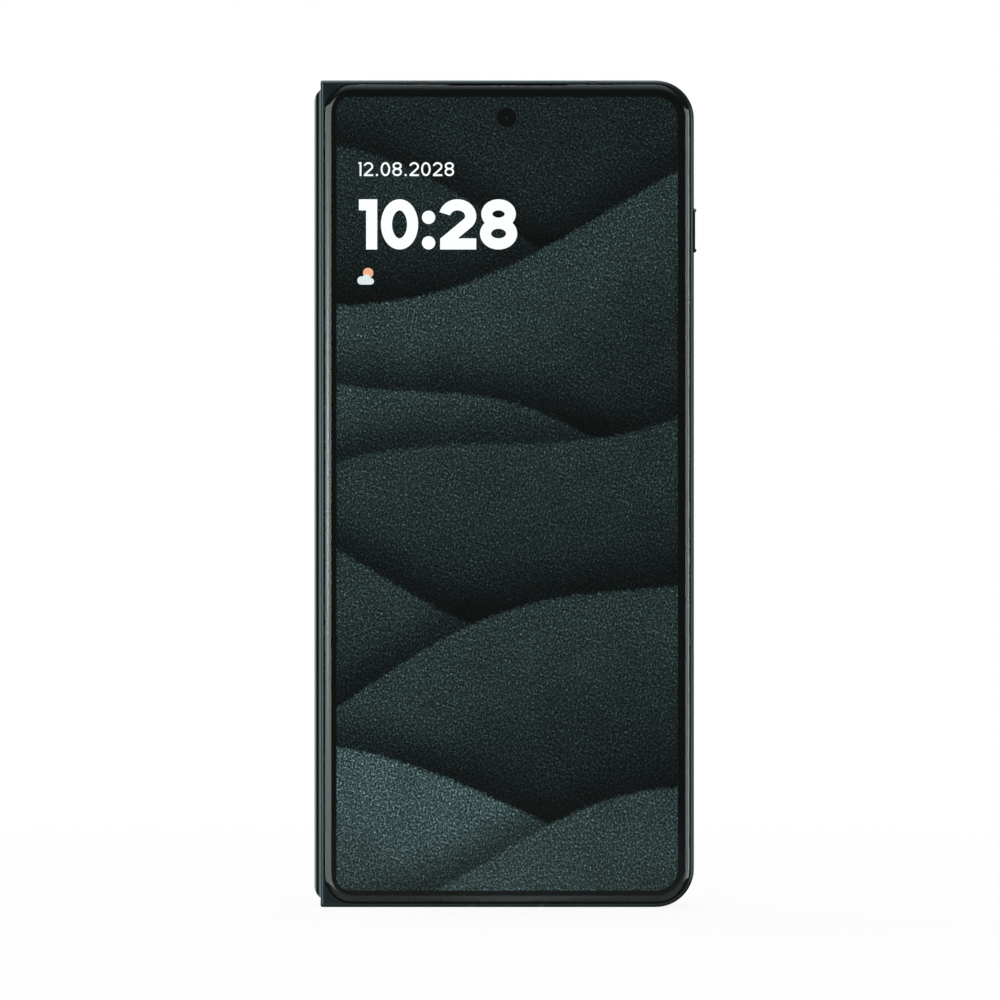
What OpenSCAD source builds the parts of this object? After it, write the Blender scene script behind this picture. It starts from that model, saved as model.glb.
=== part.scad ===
// Folding phone, shut and standing on its bottom edge, with the cover screen towards -Y.
// Each half is drawn in its own directions: u runs from the fold edge to the free edge, d from the
// middle of the shut gap outwards, and v up from the bottom edge. The rear half has +d towards +Y.
// The cover half is drawn the same way and mirrored, so that its +d points towards -Y.

/* [Case] */
// Length from the bottom edge to the top edge
phone_length = 160.05; // [150:0.05:175]
// Width of each half from the fold edge to the free edge
half_width = 72.3; // [70:0.1:80]
// Thickness of each half, without the cameras
half_thickness = 4.6; // [4.5:0.05:5.4]
// Gap between the two frames when the phone is shut
closed_gap = 0.7; // [0.6:0.05:0.9]
// Radius of the corners at the free edge
corner_radius = 7.4; // [5:0.1:9]
// Rounding of the long outer edges
edge_radius = 0.75; // [0.3:0.05:1]
// Rounding of the frame where the two halves meet at the fold
fold_edge_radius = 0.6; // [0.1:0.05:0.7]
// Thickness of the frame's side walls
wall = 1.9; // [1.6:0.05:2.4]
// Thickness of the middle plate between the display and the parts inside
web = 0.7; // [0.5:0.05:0.9]
// Width of the plastic breaks in the frame
break_width = 1.35; // [0.8:0.05:2]

/* [Cover screen] */
// Frame that shows beside the cover glass
glass_inset = 0.75; // [0.5:0.05:1]
// Frame that shows above and below the cover glass
glass_end_inset = 0.7; // [0.6:0.01:1.1]
// Width of the dark seal round the cover glass
seal_width = 0.17; // [0.1:0.01:0.3]
// Thickness of the cover glass
glass_thickness = 0.55; // [0.4:0.05:0.6]
// How deep the cover glass sits in the frame; the rest of it stands proud
glass_seat = 0.1; // [0.05:0.01:0.2]
// Width of the curved edge of the cover glass
glass_curve = 1.5; // [0.8:0.1:2]
// Radius of the glass corners on the fold side
glass_fold_corner = 5.6; // [3:0.1:8]
// Black border between the edge of the glass and the picture
border = 2.2; // [1.8:0.05:3.5]
// Thickness of the printed black border
mask_thickness = 0.05; // [0.03:0.01:0.08]
// Thickness of the cover screen's panel
panel_thickness = 0.3; // [0.2:0.05:0.4]
// Hole in the cover screen for its camera
cover_camera_hole = 3.9; // [3:0.1:5]
// Length of the slit for the earpiece at the top edge of the glass
ear_slit = 23; // [12:1:30]

/* [Inner screen] */
// Thickness of the flexible display
flex_thickness = 0.4; // [0.3:0.05:0.5]
// Thickness of the steel sheet behind the flexible display
sheet = 0.3; // [0.2:0.05:0.4]
// How far the display lies below the frame's inner face
display_drop = 0.1; // [0.1:0.05:0.2]
// Gap between the raised inner borders when the phone is shut
bezel_gap = 0.3; // [0.2:0.05:0.4]
// Width from the free edge of the frame to the inner picture
inner_margin = 4.2; // [3.6:0.1:6]
// Hole in the inner display for its camera
inner_camera_hole = 3.2; // [2.8:0.1:4]

/* [Hinge] */
// Distance of each fold axis from the fold edge
axis_u = 1.3; // [1.25:0.01:1.35]
// Gap that the halves keep as they roll past each other
fold_clearance = 0.05; // [0.03:0.01:0.08]
// Wall of the spine cover
spine_wall = 0.35; // [0.3:0.01:0.4]
// Gap between the spine and the halves that pass over it
spine_clearance = 0.12; // [0.08:0.01:0.2]
// Corner radius of the spine, seen from the side
spine_corner = 3.0; // [2.6:0.1:3.4]
// Distance of the spine's ends from the ends of the frame
spine_end = 1.2; // [1.15:0.01:1.25]
// Thickness of the frame's end walls beside the spine
end_skin = 1.1; // [0.9:0.05:1.1]
// Size of the gear teeth: pitch circle divided by the number of teeth
tooth_module = 0.1; // [0.095:0.001:0.102]
// Teeth on the gear at the root of each hinge arm
arm_teeth = 16; // [16]
// Teeth on each of the two small gears between them
idler_teeth = 10; // [10]
// Thickness of the gears and the hinge arms
gear_thickness = 0.8; // [0.6:0.05:0.9]
// Diameter of the hinge pins
pin_diameter = 0.8; // [0.7:0.05:0.9]
// Play of a pin in its bearing, per side
running_play = 0.04; // [0.02:0.01:0.05]
// Length of the hinge arm from the fold axis
arm_length = 6.7; // [5.5:0.1:6.9]
// Angle that the plates behind the fold lean out by when the phone is shut
wing_tilt = 7; // [6:0.25:7.5]
// Distance of the wing plates' pivots from the fold edge
wing_pivot_u = 9.5; // [9.3:0.1:10.5]
// Thickness of the wing plates
wing_thickness = 0.3; // [0.2:0.05:0.3]

/* [Keys and openings] */
// Length of the power key
power_length = 8.6; // [6:0.1:12]
// Height of the power key's middle above the bottom edge
power_v = 131.3; // [128:0.1:132]
// How far the power key stands out of the frame
key_proud = 0.7; // [0.4:0.05:0.8]
// Length of the volume rocker
volume_length = 12; // [10:0.1:12]
// Height of the volume rocker's middle above the bottom edge
volume_v = 146.2; // [145:0.1:146.5]
// Width of both keys
key_width = 2; // [1.4:0.1:2.2]
// Gap round the keys and round the card tray
key_gap = 0.06; // [0.04:0.01:0.1]
// Width of the card tray
tray_width = 14; // [13.8:0.1:15]
// Depth of the card tray
tray_depth = 10.8; // [10.6:0.1:11.5]
// Diameter of the speaker holes
speaker_hole = 1.1; // [0.8:0.1:1.4]

/* [Rear cameras] */
// Side of the camera island
island_size = 37; // [36:0.5:40]
// Corner radius of the camera island
island_corner = 9; // [6:0.5:12]
// Height of the camera island above the back
island_height = 1.5; // [1:0.1:2]
// Distance of the camera island from the free edge and from the top
island_inset = 4.4; // [4:0.1:5]
// Outer diameter of the lens rings
ring_diameter = 14; // [13:0.5:15]
// Height of the lens rings above the camera island
ring_height = 1.35; // [0.8:0.05:1.6]
// Distance between neighbouring lenses
lens_pitch = 17.2; // [16:0.1:18]

/* [Hidden] */
$fn = 72;

metal = "#33464a";
dark_metal = "#202829";
steel = "#8d9294";
black = "#141617";
board_green = "#1f4a3a";
gold = "#b79252";

// Depths from the middle of the shut gap
inner_face = closed_gap / 2;
outer_face = inner_face + half_thickness;
bezel_face = bezel_gap / 2;
display_face = inner_face + display_drop;
display_back = display_face + flex_thickness;
sheet_back = display_back + sheet;
web_back = sheet_back + web;
glass_back = outer_face - glass_thickness;
cover_face = glass_back + glass_seat;
panel_face = glass_back - mask_thickness;
panel_back = panel_face - panel_thickness;
cover_thickness = 0.7;
cover_back = outer_face - cover_thickness;

// Fold axes, spine and the room that the spine needs in each half
axis_d = axis_u + fold_clearance;
lip_back = panel_back - 0.02;
spine_radius = lip_back - axis_d - spine_clearance;
spine_out = spine_radius - axis_u;
spine_edge_u = 0.3;
hinge_room = axis_u + spine_radius + 0.44;
hinge_wall = hinge_room + 0.7;
block_top_u = 1.95;
pin_start = 0.5;
flex_v = 60;
flex_width = 16;
block_v = [spine_end + 0.1, spine_end + 1.35];
gear_v = block_v[1] + 0.1;
gear_top = gear_v + gear_thickness;
fold_end = gear_top + 0.45;
rim = fold_end - 0.1;

// Gear centres and tooth angles: two arm gears with two idlers between them
arm_pitch = tooth_module * arm_teeth / 2;
idler_pitch = tooth_module * idler_teeth / 2;
idler_u = axis_u - sqrt(pow(arm_pitch + idler_pitch, 2) - pow(axis_d - idler_pitch, 2));
to_idler = atan2(idler_pitch - axis_d, idler_u - axis_u);
rear_arm_tooth = 0;
rear_idler_tooth = meshing_tooth(arm_teeth, rear_arm_tooth, to_idler, idler_teeth);
cover_idler_tooth = meshing_tooth(idler_teeth, rear_idler_tooth, -90, idler_teeth);
cover_arm_tooth = meshing_tooth(idler_teeth, cover_idler_tooth, 180 - to_idler, arm_teeth);

// Drop-shaped loop of the display: straight along the wing plates, round at the spine
lift_thickness = 0.3;
lift_top = 0.55;
loop_apex = lift_top + 0.118 + flex_thickness / 2;
display_middle = (display_face + display_back) / 2;
loop_radius = ((wing_pivot_u - loop_apex) * sin(wing_tilt) + display_middle * cos(wing_tilt))
    / (1 + sin(wing_tilt));
loop_u = loop_apex + loop_radius;
wing_d = display_back + 0.05 + wing_thickness / 2;
wing_tip = 0.75;
wing_room = wing_pivot_u + 0.2;
wing_floor = wing_d + wing_thickness / 2 + (wing_pivot_u - hinge_room) * tan(wing_tilt) + 0.1;
wing_web_back = wing_floor + 0.5;

// Cover screen
glass_margin = glass_inset + seal_width;
glass_end_margin = glass_end_inset + seal_width;
ear_slit_depth = 0.2;

// Inner screen
display_edge = half_width - 3.3;
bezel_start = axis_u + 1.65;

// Rear cameras
island_u = half_width - island_inset - island_size / 2;
island_v = phone_length - island_inset - island_size / 2;
lens_offsets = [[-1, 1], [1, 1], [-1, -1]];
barrel_radius = 4.9;
module_size = 11;

// Parts inside
play = 0.05;
inside_u = half_width - wall;
port_u = half_width / 2;
port_width = 8.84;
port_height = 3.06;
port_depth = 7.3;
port_d = sheet_back + 0.02 + port_height / 2;
tray_u = 17.5;
tray_d = 2.8;
board_thickness = 0.6;
board_v = 86;
battery_v = 14;
switch_face = inside_u - 0.15;
coil_radius = 19;

// Middle of the whole phone's box, which becomes the origin
origin_u = (half_width + key_proud - spine_out) / 2;
origin_d = (island_height + ring_height) / 2;

// Angle of a tooth on the second gear that meshes with the first; heading points from first to second.
function meshing_tooth(teeth_a, tooth_a, heading, teeth_b) =
    heading + 180 - (0.5 - (heading - tooth_a) * teeth_a / 360) * 360 / teeth_b;

// Outline of a gear with straight-flanked teeth: root, flank, tip, flank for each tooth in turn.
function gear_outline(teeth, tooth) = [
    for (i = [0:teeth - 1], side = [[-0.3, -1.1], [-0.11, 0.8], [0.11, 0.8], [0.3, -1.1]])
        let (angle = tooth + (i + side[0]) * 360 / teeth,
            radius = tooth_module * (teeth / 2 + side[1]))
        radius * [cos(angle), sin(angle)]
];

module rear_side() {
    translate([-origin_u, -origin_d, 0]) children();
}

module cover_side() {
    translate([-origin_u, -origin_d, 0]) mirror([0, 1, 0]) children();
}

// Draws the same thing at the bottom end and at the top end.
module both_ends() {
    children();
    translate([0, 0, phone_length]) mirror([0, 0, 1]) children();
}

module block(u, d, v) {
    translate([u[0], d[0], v[0]]) cube([u[1] - u[0], d[1] - d[0], v[1] - v[0]]);
}

// A flat shape drawn in u and v, given a thickness in d.
module plate(d) {
    translate([0, d[1], 0]) rotate([90, 0, 0]) linear_extrude(d[1] - d[0]) children();
}

// A flat shape drawn in v and d, pushed through u.
module across(u) {
    translate([u[0], 0, 0]) mirror([0, 0, 1]) rotate([0, 90, 0])
        linear_extrude(u[1] - u[0]) children();
}

module rod_d(u, v, radius, d) {
    translate([u, d[1], v]) rotate([90, 0, 0]) cylinder(r = radius, h = d[1] - d[0]);
}

module rod_v(u, d, radius, v) {
    translate([u, d, v[0]]) cylinder(r = radius, h = v[1] - v[0]);
}

// Rectangle in u and v with one radius at the fold side and another at the free side.
module outline(u, v, fold_radius, free_radius) {
    difference() {
        translate([u[0], v[0]]) square([u[1] - u[0], v[1] - v[0]]);
        for (top = [0, 1]) {
            corner_cut([u[0] + fold_radius, v[top] + (top ? -1 : 1) * fold_radius],
                [1, top ? 0 : 1], fold_radius);
            corner_cut([u[1] - free_radius, v[top] + (top ? -1 : 1) * free_radius],
                [0, top ? 0 : 1], free_radius);
        }
    }
}

module corner_cut(centre, flip, radius) {
    if (radius > 0)
        translate(centre) mirror([flip[0], 0]) mirror([0, flip[1]]) difference() {
            square(radius + 1);
            circle(radius);
        }
}

// Cross-sections of the edges, with x outwards and y in depth; face is the frame's outer face.
module frame_edge(reach, face) {
    difference() {
        translate([0, inner_face]) square([reach, face - inner_face]);
        translate([reach - edge_radius, face - edge_radius]) difference() {
            square(edge_radius + 1);
            circle(edge_radius);
        }
        translate([reach - edge_radius, inner_face + edge_radius]) mirror([0, 1]) difference() {
            square(edge_radius + 1);
            circle(edge_radius);
        }
    }
}

// The curve is part of a circle that touches the flat face, glass_curve in from the edge.
module glass_edge(reach) {
    drop = glass_thickness - 0.07;
    radius = (glass_curve * glass_curve + drop * drop) / (2 * drop);
    difference() {
        translate([0, glass_back]) square([reach, glass_thickness]);
        translate([reach - glass_curve, outer_face - radius]) difference() {
            square(radius + 1);
            circle(radius);
        }
    }
}

module edge_section(kind, reach) {
    if (kind == "glass") glass_edge(reach);
    else frame_edge(reach, kind == "rear" ? outer_face : cover_face);
}

// Flat slab whose edge section runs round it, with square or round corners at the fold side.
module slab(kind, u, v, fold_radius, free_radius) {
    middle = (v[0] + v[1]) / 2;
    across([u[0] + fold_radius, u[1] - free_radius]) for (side = [0, 1])
        translate([middle, 0]) mirror([side, 0]) edge_section(kind, (v[1] - v[0]) / 2);
    slab_side(kind, u[1], v, free_radius);
    if (fold_radius > 0)
        translate([u[0] * 2, 0, 0]) mirror([1, 0, 0]) slab_side(kind, u[0], v, fold_radius);
}

// One long side of a slab with its two round corners, ending at u.
module slab_side(kind, u, v, radius) {
    translate([u - radius, 0, v[0] + radius]) linear_extrude(v[1] - v[0] - 2 * radius)
        edge_section(kind, radius);
    translate([u - radius, 0, v[0] + radius]) rotate([-90, 0, 0])
        rotate_extrude(angle = 90) edge_section(kind, radius);
    translate([u - radius, 0, v[1] - radius]) mirror([0, 0, 1]) rotate([-90, 0, 0])
        rotate_extrude(angle = 90) edge_section(kind, radius);
}

// Solid half before it is hollowed out; kind is "rear" or "cover".
module half_blank(kind) {
    difference() {
        slab(kind, [0, half_width], [0, phone_length], 0, corner_radius);
        // Edge of the outer face along the fold
        translate([0, kind == "rear" ? outer_face : cover_face, 0]) mirror([0, 1, 0])
            fold_edge_cut(fold_edge_radius);
        // Rounding of the inner corner about the fold axis, so that the halves roll past each other
        translate([0, 0, -1]) linear_extrude(phone_length + 2) difference() {
            translate([-1, -1]) square([axis_u + 1, axis_d + 1]);
            translate([axis_u, axis_d]) circle(axis_u);
        }
        plate([0, outer_face + 1]) for (top = [0, 1])
            corner_cut([0.5, top ? phone_length - 0.5 : 0.5], [1, top ? 0 : 1], 0.5);
    }
}

module fold_edge_cut(radius) {
    translate([radius, radius, -1]) linear_extrude(phone_length + 2)
        mirror([1, 0]) mirror([0, 1]) difference() {
            square(radius + 1);
            circle(radius);
        }
}

// Room taken out of the frame on the inner side: border, display, wing plate and spine.
module inner_recesses() {
    plate([-1, display_face])
        outline([-1, half_width - edge_radius], [edge_radius, phone_length - edge_radius],
            0, corner_radius - edge_radius);
    plate([-1, sheet_back])
        outline([-1, display_edge + play], [rim, phone_length - rim], 0, 2);
    block([-1, wing_room], [-1, wing_floor], [rim, phone_length - rim]);
    block([-1, hinge_room], [-1, lip_back], [end_skin, phone_length - end_skin]);
}

// The rear cover lies in this recess; the cover glass has its own.
module back_recess() {
    plate([cover_back, outer_face + 1])
        outline([glass_inset, half_width - glass_inset],
            [glass_end_inset, phone_length - glass_end_inset],
            glass_fold_corner, corner_radius - glass_inset);
}

module screen_recess() {
    plate([panel_face, outer_face + 1])
        outline([glass_inset, half_width - glass_inset],
            [glass_end_inset, phone_length - glass_end_inset],
            glass_fold_corner, corner_radius - glass_inset);
    plate([panel_back, outer_face + 1]) panel_outline(play);
}

module panel_outline(more) {
    margin = glass_inset + border - 0.4 - more;
    outline([margin, half_width - margin],
        [margin + 0.1, phone_length - margin - 0.1], 3, corner_radius - margin);
}

// Hollow for the parts inside, which is shallower behind the wing plate.
module cavity(back) {
    plate([web_back, back + 0.01])
        outline([wing_room + 0.2, inside_u], [wall, phone_length - wall], 0, corner_radius - wall);
    plate([wing_web_back, back + 0.01])
        outline([hinge_wall, inside_u], [fold_end, phone_length - fold_end], 0, corner_radius - wall);
}

// Bores and pockets at both ends for a hinge pin, a hinge arm and a wing plate's pivot.
module hinge_seats() {
    both_ends() {
        rod_v(axis_u, axis_d, pin_diameter / 2, [pin_start, end_skin + 1]);
        block([hinge_room - 1, axis_u + arm_length + play], [-1, axis_d + 0.4],
            [gear_v - play, gear_top + play]);
        rod_v(wing_pivot_u, wing_d, wing_thickness / 2 + running_play, [rim - 0.6, rim + 1]);
    }
}

// Boxes of the plastic breaks; a break takes the outer part of the frame's wall.
module break_boxes() {
    depth = 1.25;
    for (u = [half_width / 2 - 16.5, half_width / 2 + 16.6])
        translate([u - break_width / 2, -1, phone_length - depth])
            cube([break_width, outer_face + 2, depth + 1]);
    for (u = [half_width / 2 - 6.7, half_width / 2 + 6.5])
        translate([u - break_width / 2, -1, -1]) cube([break_width, outer_face + 2, depth + 1]);
    for (v = [[116.5, 0.8], [51.3, break_width]])
        translate([half_width - depth, -1, v[0] - v[1] / 2])
            cube([depth + 1, outer_face + 2, v[1]]);
}

module speaker_holes(first_u, count, v) {
    for (i = [0:count - 1])
        rod_v(first_u + i * 2.1, 2.8, speaker_hole / 2, v);
}

// Shape with round ends, lying along its first direction.
module stadium(length, width) {
    square([length - width, width], center = true);
    for (side = [-1, 1]) translate([side * (length - width) / 2, 0]) circle(width / 2);
}

// Slot for a key in the free edge, with a wider seat for its flange inside.
module key_slot(v, length) {
    across([inside_u - 1, half_width + 1]) translate([v, key_d()])
        stadium(length + 2 * key_gap, key_width + 2 * key_gap);
    block([inside_u - 1, inside_u + 0.65], [web_back, key_d() + key_width / 2 + 0.1],
        [v - length / 2 - 1, v + length / 2 + 1]);
}

function key_d() = (inner_face + outer_face) / 2;

// Key with a flange that keeps it in its slot; flange_u is the flange's inner face.
module key(v, length, proud, flange_u) {
    across([flange_u + 0.1, half_width + proud]) translate([v, key_d()])
        stadium(length, key_width);
    block([flange_u, flange_u + 0.4], [web_back + play, key_d() + key_width / 2],
        [v - length / 2 - 0.8, v + length / 2 + 0.8]);
}

module rear_frame() {
    color(metal) rear_side() difference() {
        half_blank("rear");
        inner_recesses();
        back_recess();
        cavity(cover_back);
        hinge_seats();
        break_boxes();
        key_slot(power_v, power_length);
        key_slot(volume_v, volume_length);
        volume_scoop();
        // Charging port and card tray in the bottom edge, with the pin hole of the tray
        translate([port_u, port_d, -1]) linear_extrude(port_depth + 1 + play)
            stadium(port_width + 2 * play, port_height + 2 * play);
        block([tray_u - tray_width / 2 - key_gap, tray_u + tray_width / 2 + key_gap],
            [tray_d - 0.8 - key_gap, tray_d + 0.8 + key_gap], [-1, wall + 1]);
        rod_v(tray_u + tray_width / 2 + 1.8, tray_d, 0.45, [-1, wall + 1]);
        speaker_holes(port_u + 10.5, 6, [-1, wall + 1]);
        rod_v(port_u - 12.6, 2.8, 0.4, [phone_length - wall - 1, phone_length + 1]);
        // Inner camera looks through the web
        rod_d(inner_camera_u(), inner_camera_v(), 1.35, [0, web_back + 1]);
        for (place = board_screw_places())
            rod_d(place[0], place[1], 0.35, [web_back - 0.5, web_back + 0.1]);
    }
}

// Shallow hollow round the volume rocker, whose face lies level with the frame.
module volume_scoop() {
    across([half_width - 0.3, half_width + 1]) translate([volume_v, key_d()])
        stadium(volume_length + 0.9, key_width + 0.6);
}

function inner_camera_u() = 23;
function inner_camera_v() = phone_length - 9;
function board_screw_places() = [
    [wing_room + 2.5, board_v + 2.5], [inside_u - 2.6, board_v + 2.5],
    [wing_room + 2.5, phone_length - 20], [inside_u - 4, phone_length - 45]
];

module rear_frame_breaks() {
    color("#6d7a78") rear_side() difference() {
        intersection() {
            half_blank("rear");
            break_boxes();
        }
        inner_recesses();
        back_recess();
    }
}

module rear_cover() {
    margin = glass_inset + play;
    color("#22393b") rear_side() difference() {
        plate([cover_back, outer_face])
            outline([margin, half_width - margin],
                [glass_end_inset + play, phone_length - glass_end_inset - play],
                glass_fold_corner - play, corner_radius - margin);
        for (place = lens_offsets)
            rod_d(island_u + place[0] * lens_pitch / 2, island_v + place[1] * lens_pitch / 2,
                barrel_radius + 0.2, [cover_back - 1, outer_face + 1]);
    }
}

module camera_island() {
    half = island_size / 2;
    color("#2a3d40") rear_side() difference() {
        plate([outer_face, outer_face + island_height])
            outline([island_u - half, island_u + half], [island_v - half, island_v + half],
                island_corner, island_corner);
        for (place = lens_offsets)
            rod_d(island_u + place[0] * lens_pitch / 2, island_v + place[1] * lens_pitch / 2,
                barrel_radius + 0.2, [outer_face - 1, outer_face + island_height + 1]);
        rod_d(island_u + lens_pitch / 2, island_v - lens_pitch / 2, 3,
            [outer_face - 1, outer_face + island_height + 1]);
    }
}

// Rings that stand on the camera island and hold the lens windows.
module camera_rings() {
    base = outer_face + island_height;
    color(steel) rear_side() for (place = lens_offsets)
        translate([island_u + place[0] * lens_pitch / 2, base,
            island_v + place[1] * lens_pitch / 2])
            rotate([-90, 0, 0]) rotate_extrude() difference() {
                translate([barrel_radius + 0.2, 0])
                    square([ring_diameter / 2 - barrel_radius - 0.2, ring_height]);
                translate([0, ring_height - 0.45]) square([barrel_radius + 1, 1]);
                translate([ring_diameter / 2 - 0.3, ring_height - 0.3]) difference() {
                    square(1);
                    circle(0.3);
                }
            }
}

module camera_lenses() {
    top = outer_face + island_height + ring_height;
    color("#0d1216") rear_side() for (place = lens_offsets)
        rod_d(island_u + place[0] * lens_pitch / 2, island_v + place[1] * lens_pitch / 2,
            barrel_radius + 0.97, [top - 0.45, top - 0.1]);
}

module camera_modules() {
    top = outer_face + island_height + ring_height - 0.45;
    half = module_size / 2;
    color(black) rear_side() for (place = lens_offsets)
        translate([island_u + place[0] * lens_pitch / 2, 0,
            island_v + place[1] * lens_pitch / 2]) {
            block([-half, half], [web_back, cover_back], [-half, half]);
            rod_d(0, 0, barrel_radius, [cover_back - 0.1, top]);
        }
}

module flash() {
    color("#e9e2c8") rear_side()
        rod_d(island_u + lens_pitch / 2, island_v - lens_pitch / 2, 2.95,
            [outer_face, outer_face + island_height - 0.1]);
}

// Board that fills the upper part of the rear half round the camera modules.
module main_board() {
    hole = module_size / 2 + 0.3;
    color(board_green) rear_side() difference() {
        plate([web_back, web_back + board_thickness])
            outline([wing_room + 0.3, inside_u - 0.8], [board_v, phone_length - wall - 0.4],
                0, corner_radius - wall - 0.8);
        block([0, inner_camera_u() + 5], [0, 9], [phone_length - 16, phone_length]);
        for (place = lens_offsets)
            translate([island_u + place[0] * lens_pitch / 2, 0,
                island_v + place[1] * lens_pitch / 2])
                block([-hole, hole], [0, 9], [-hole, hole]);
        for (place = board_screw_places()) rod_d(place[0], place[1], 0.4, [0, 9]);
        for (v = [power_v, volume_v])
            block([switch_face - 1.3, half_width], [0, 9], [v - 8, v + 8]);
    }
}

// Sheet-metal can over the processor.
module processor_shield() {
    front = web_back + board_thickness;
    u = wing_room + 4;
    v = board_v + 5;
    color(steel) rear_side() difference() {
        block([u, u + 20], [front, front + 1.2], [v, v + 20]);
        block([u + 0.2, u + 19.8], [front - 1, front + 1], [v + 0.2, v + 19.8]);
    }
}

module board_screws() {
    front = web_back + board_thickness;
    color(steel) rear_side() for (place = board_screw_places()) {
        rod_d(place[0], place[1], 0.35, [web_back - 0.5, front]);
        rod_d(place[0], place[1], 0.8, [front, front + 0.3]);
    }
}

module main_battery() {
    color("#3a3d40") rear_side()
        block([wing_room + 1, inside_u - 5], [web_back, cover_back - 0.25],
            [battery_v, board_v - 1.5]);
}

// Flat winding between the battery and the rear cover.
module charging_coil() {
    v = (battery_v + board_v) / 2 - 1;
    color("#a5673f") rear_side() difference() {
        rod_d(half_width / 2, v, coil_radius, [cover_back - 0.25, cover_back]);
        rod_d(half_width / 2, v, coil_radius - 10, [cover_back - 1, cover_back + 1]);
    }
}

module bottom_speaker() {
    color(black) rear_side()
        block([port_u + 9, port_u + 26], [web_back, cover_back - 0.1], [wall + 0.1, 12]);
}

module usb_board() {
    color(board_green) rear_side()
        block([port_u - 8, port_u + 7], [web_back, web_back + board_thickness],
            [port_depth + 0.3, battery_v - 0.5]);
}

// Charging socket: pressed shell, closed at the back and open at the bottom edge.
module usb_shell() {
    color(steel) rear_side() translate([port_u, port_d, 0]) difference() {
        translate([0, 0, 0.3]) linear_extrude(port_depth - 0.3)
            stadium(port_width, port_height);
        translate([0, 0, -1]) linear_extrude(port_depth + 0.5)
            stadium(port_width - 0.5, port_height - 0.5);
    }
}

module usb_tongue() {
    color(black) rear_side()
        block([port_u - 3.35, port_u + 3.35], [port_d - 0.35, port_d + 0.35],
            [1.2, port_depth - 0.5]);
}

// Ribbon beside the coil that joins the main board with the boards at the bottom.
module bottom_flex() {
    front = cover_back - 0.25;
    u = inside_u - 10;
    color("#7a5a2a") rear_side() {
        block([u, u + 4], [front, front + 0.12], [battery_v - 1, board_v + 3]);
        block([u, u + 4], [web_back + board_thickness, front + 0.12], [board_v, board_v + 3]);
        block([u, u + 4], [web_back, front + 0.12], [battery_v - 1.4, battery_v - 0.4]);
    }
}

module vibration_motor() {
    color(steel) rear_side()
        block([wing_room + 0.6, wing_room + 8.6], [web_back, cover_back - 0.1],
            [phone_length - 12.6, phone_length - 3.6]);
}

// Cage that guides the card tray.
module card_reader() {
    half = tray_width / 2;
    color(steel) rear_side() difference() {
        block([tray_u - half - 0.3, tray_u + half + 0.3], [web_back, tray_d + 0.9],
            [wall, tray_depth + 0.8]);
        block([tray_u - half - key_gap, tray_u + half + key_gap], [tray_d - 0.6, tray_d + 0.6],
            [wall - 1, tray_depth + 0.5]);
    }
}

// One switch behind the power key and one behind each end of the volume rocker.
module key_switches() {
    color(black) rear_side() for (v = [power_v, volume_v - 4, volume_v + 4])
        block([switch_face - 1.2, switch_face], [web_back, key_d() + 0.6], [v - 1, v + 1]);
}

// Magnets beside the battery, which hold the phone shut.
module magnets() {
    for (v = [battery_v + 10, (battery_v + board_v) / 2, board_v - 10])
        block([inside_u - 4, inside_u - 1], [web_back, web_back + 1], [v - 4, v + 4]);
}

module rear_magnets() {
    color(steel) rear_side() magnets();
}

module inner_camera() {
    u = inner_camera_u();
    v = inner_camera_v();
    color(black) rear_side() {
        block([u - 2.8, u + 2.8], [web_back, cover_back - 0.2], [v - 2.8, v + 2.8]);
        rod_d(u, v, 1.25, [display_back - 0.15, web_back + 0.1]);
    }
}

// Steel sheet behind the flat part of the display.
module display_sheet() {
    plate([display_back, sheet_back])
        outline([wing_room + 0.05, display_edge], [fold_end, phone_length - fold_end], 0, 1.9);
}

module display_half() {
    plate([display_face, display_back])
        outline([wing_pivot_u + 0.02, display_edge], [fold_end, phone_length - fold_end], 0, 1.9);
}

module rear_display_sheet() {
    color(steel) rear_side() difference() {
        display_sheet();
        rod_d(inner_camera_u(), inner_camera_v(), 1.35, [0, 2]);
    }
}

module inner_display_rear() {
    color("#101a1c") rear_side() difference() {
        display_half();
        rod_d(inner_camera_u(), inner_camera_v(), inner_camera_hole / 2, [0, 2]);
    }
}

// Raised border on three sides, which covers the edge of the display.
module inner_border() {
    margin = edge_radius + play;
    difference() {
        plate([bezel_face, display_face])
            outline([bezel_start, half_width - margin], [margin, phone_length - margin],
                0, corner_radius - margin);
        plate([bezel_face - 1, display_face + 1])
            outline([0, half_width - inner_margin], [inner_margin, phone_length - inner_margin],
                0, 3.2);
    }
}

module inner_border_rear() {
    color(black) rear_side() inner_border();
}

// Gear round the hinge pin with an arm that is seated in the half's frame.
module hinge_arms(tooth) {
    both_ends() difference() {
        union() {
            translate([axis_u, axis_d, gear_v]) linear_extrude(gear_thickness)
                polygon(gear_outline(arm_teeth, tooth));
            block([axis_u, axis_u + arm_length], [axis_d - 0.4, axis_d + 0.4],
                [gear_v, gear_top]);
        }
        rod_v(axis_u, axis_d, pin_diameter / 2, [gear_v - 1, gear_top + 1]);
    }
}

module hinge_pins() {
    both_ends() rod_v(axis_u, axis_d, pin_diameter / 2, [pin_start, gear_top - 0.05]);
}

module rear_hinge_arms() {
    color(dark_metal) rear_side() hinge_arms(rear_arm_tooth);
}

module rear_hinge_pins() {
    color(steel) rear_side() hinge_pins();
}

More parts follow.
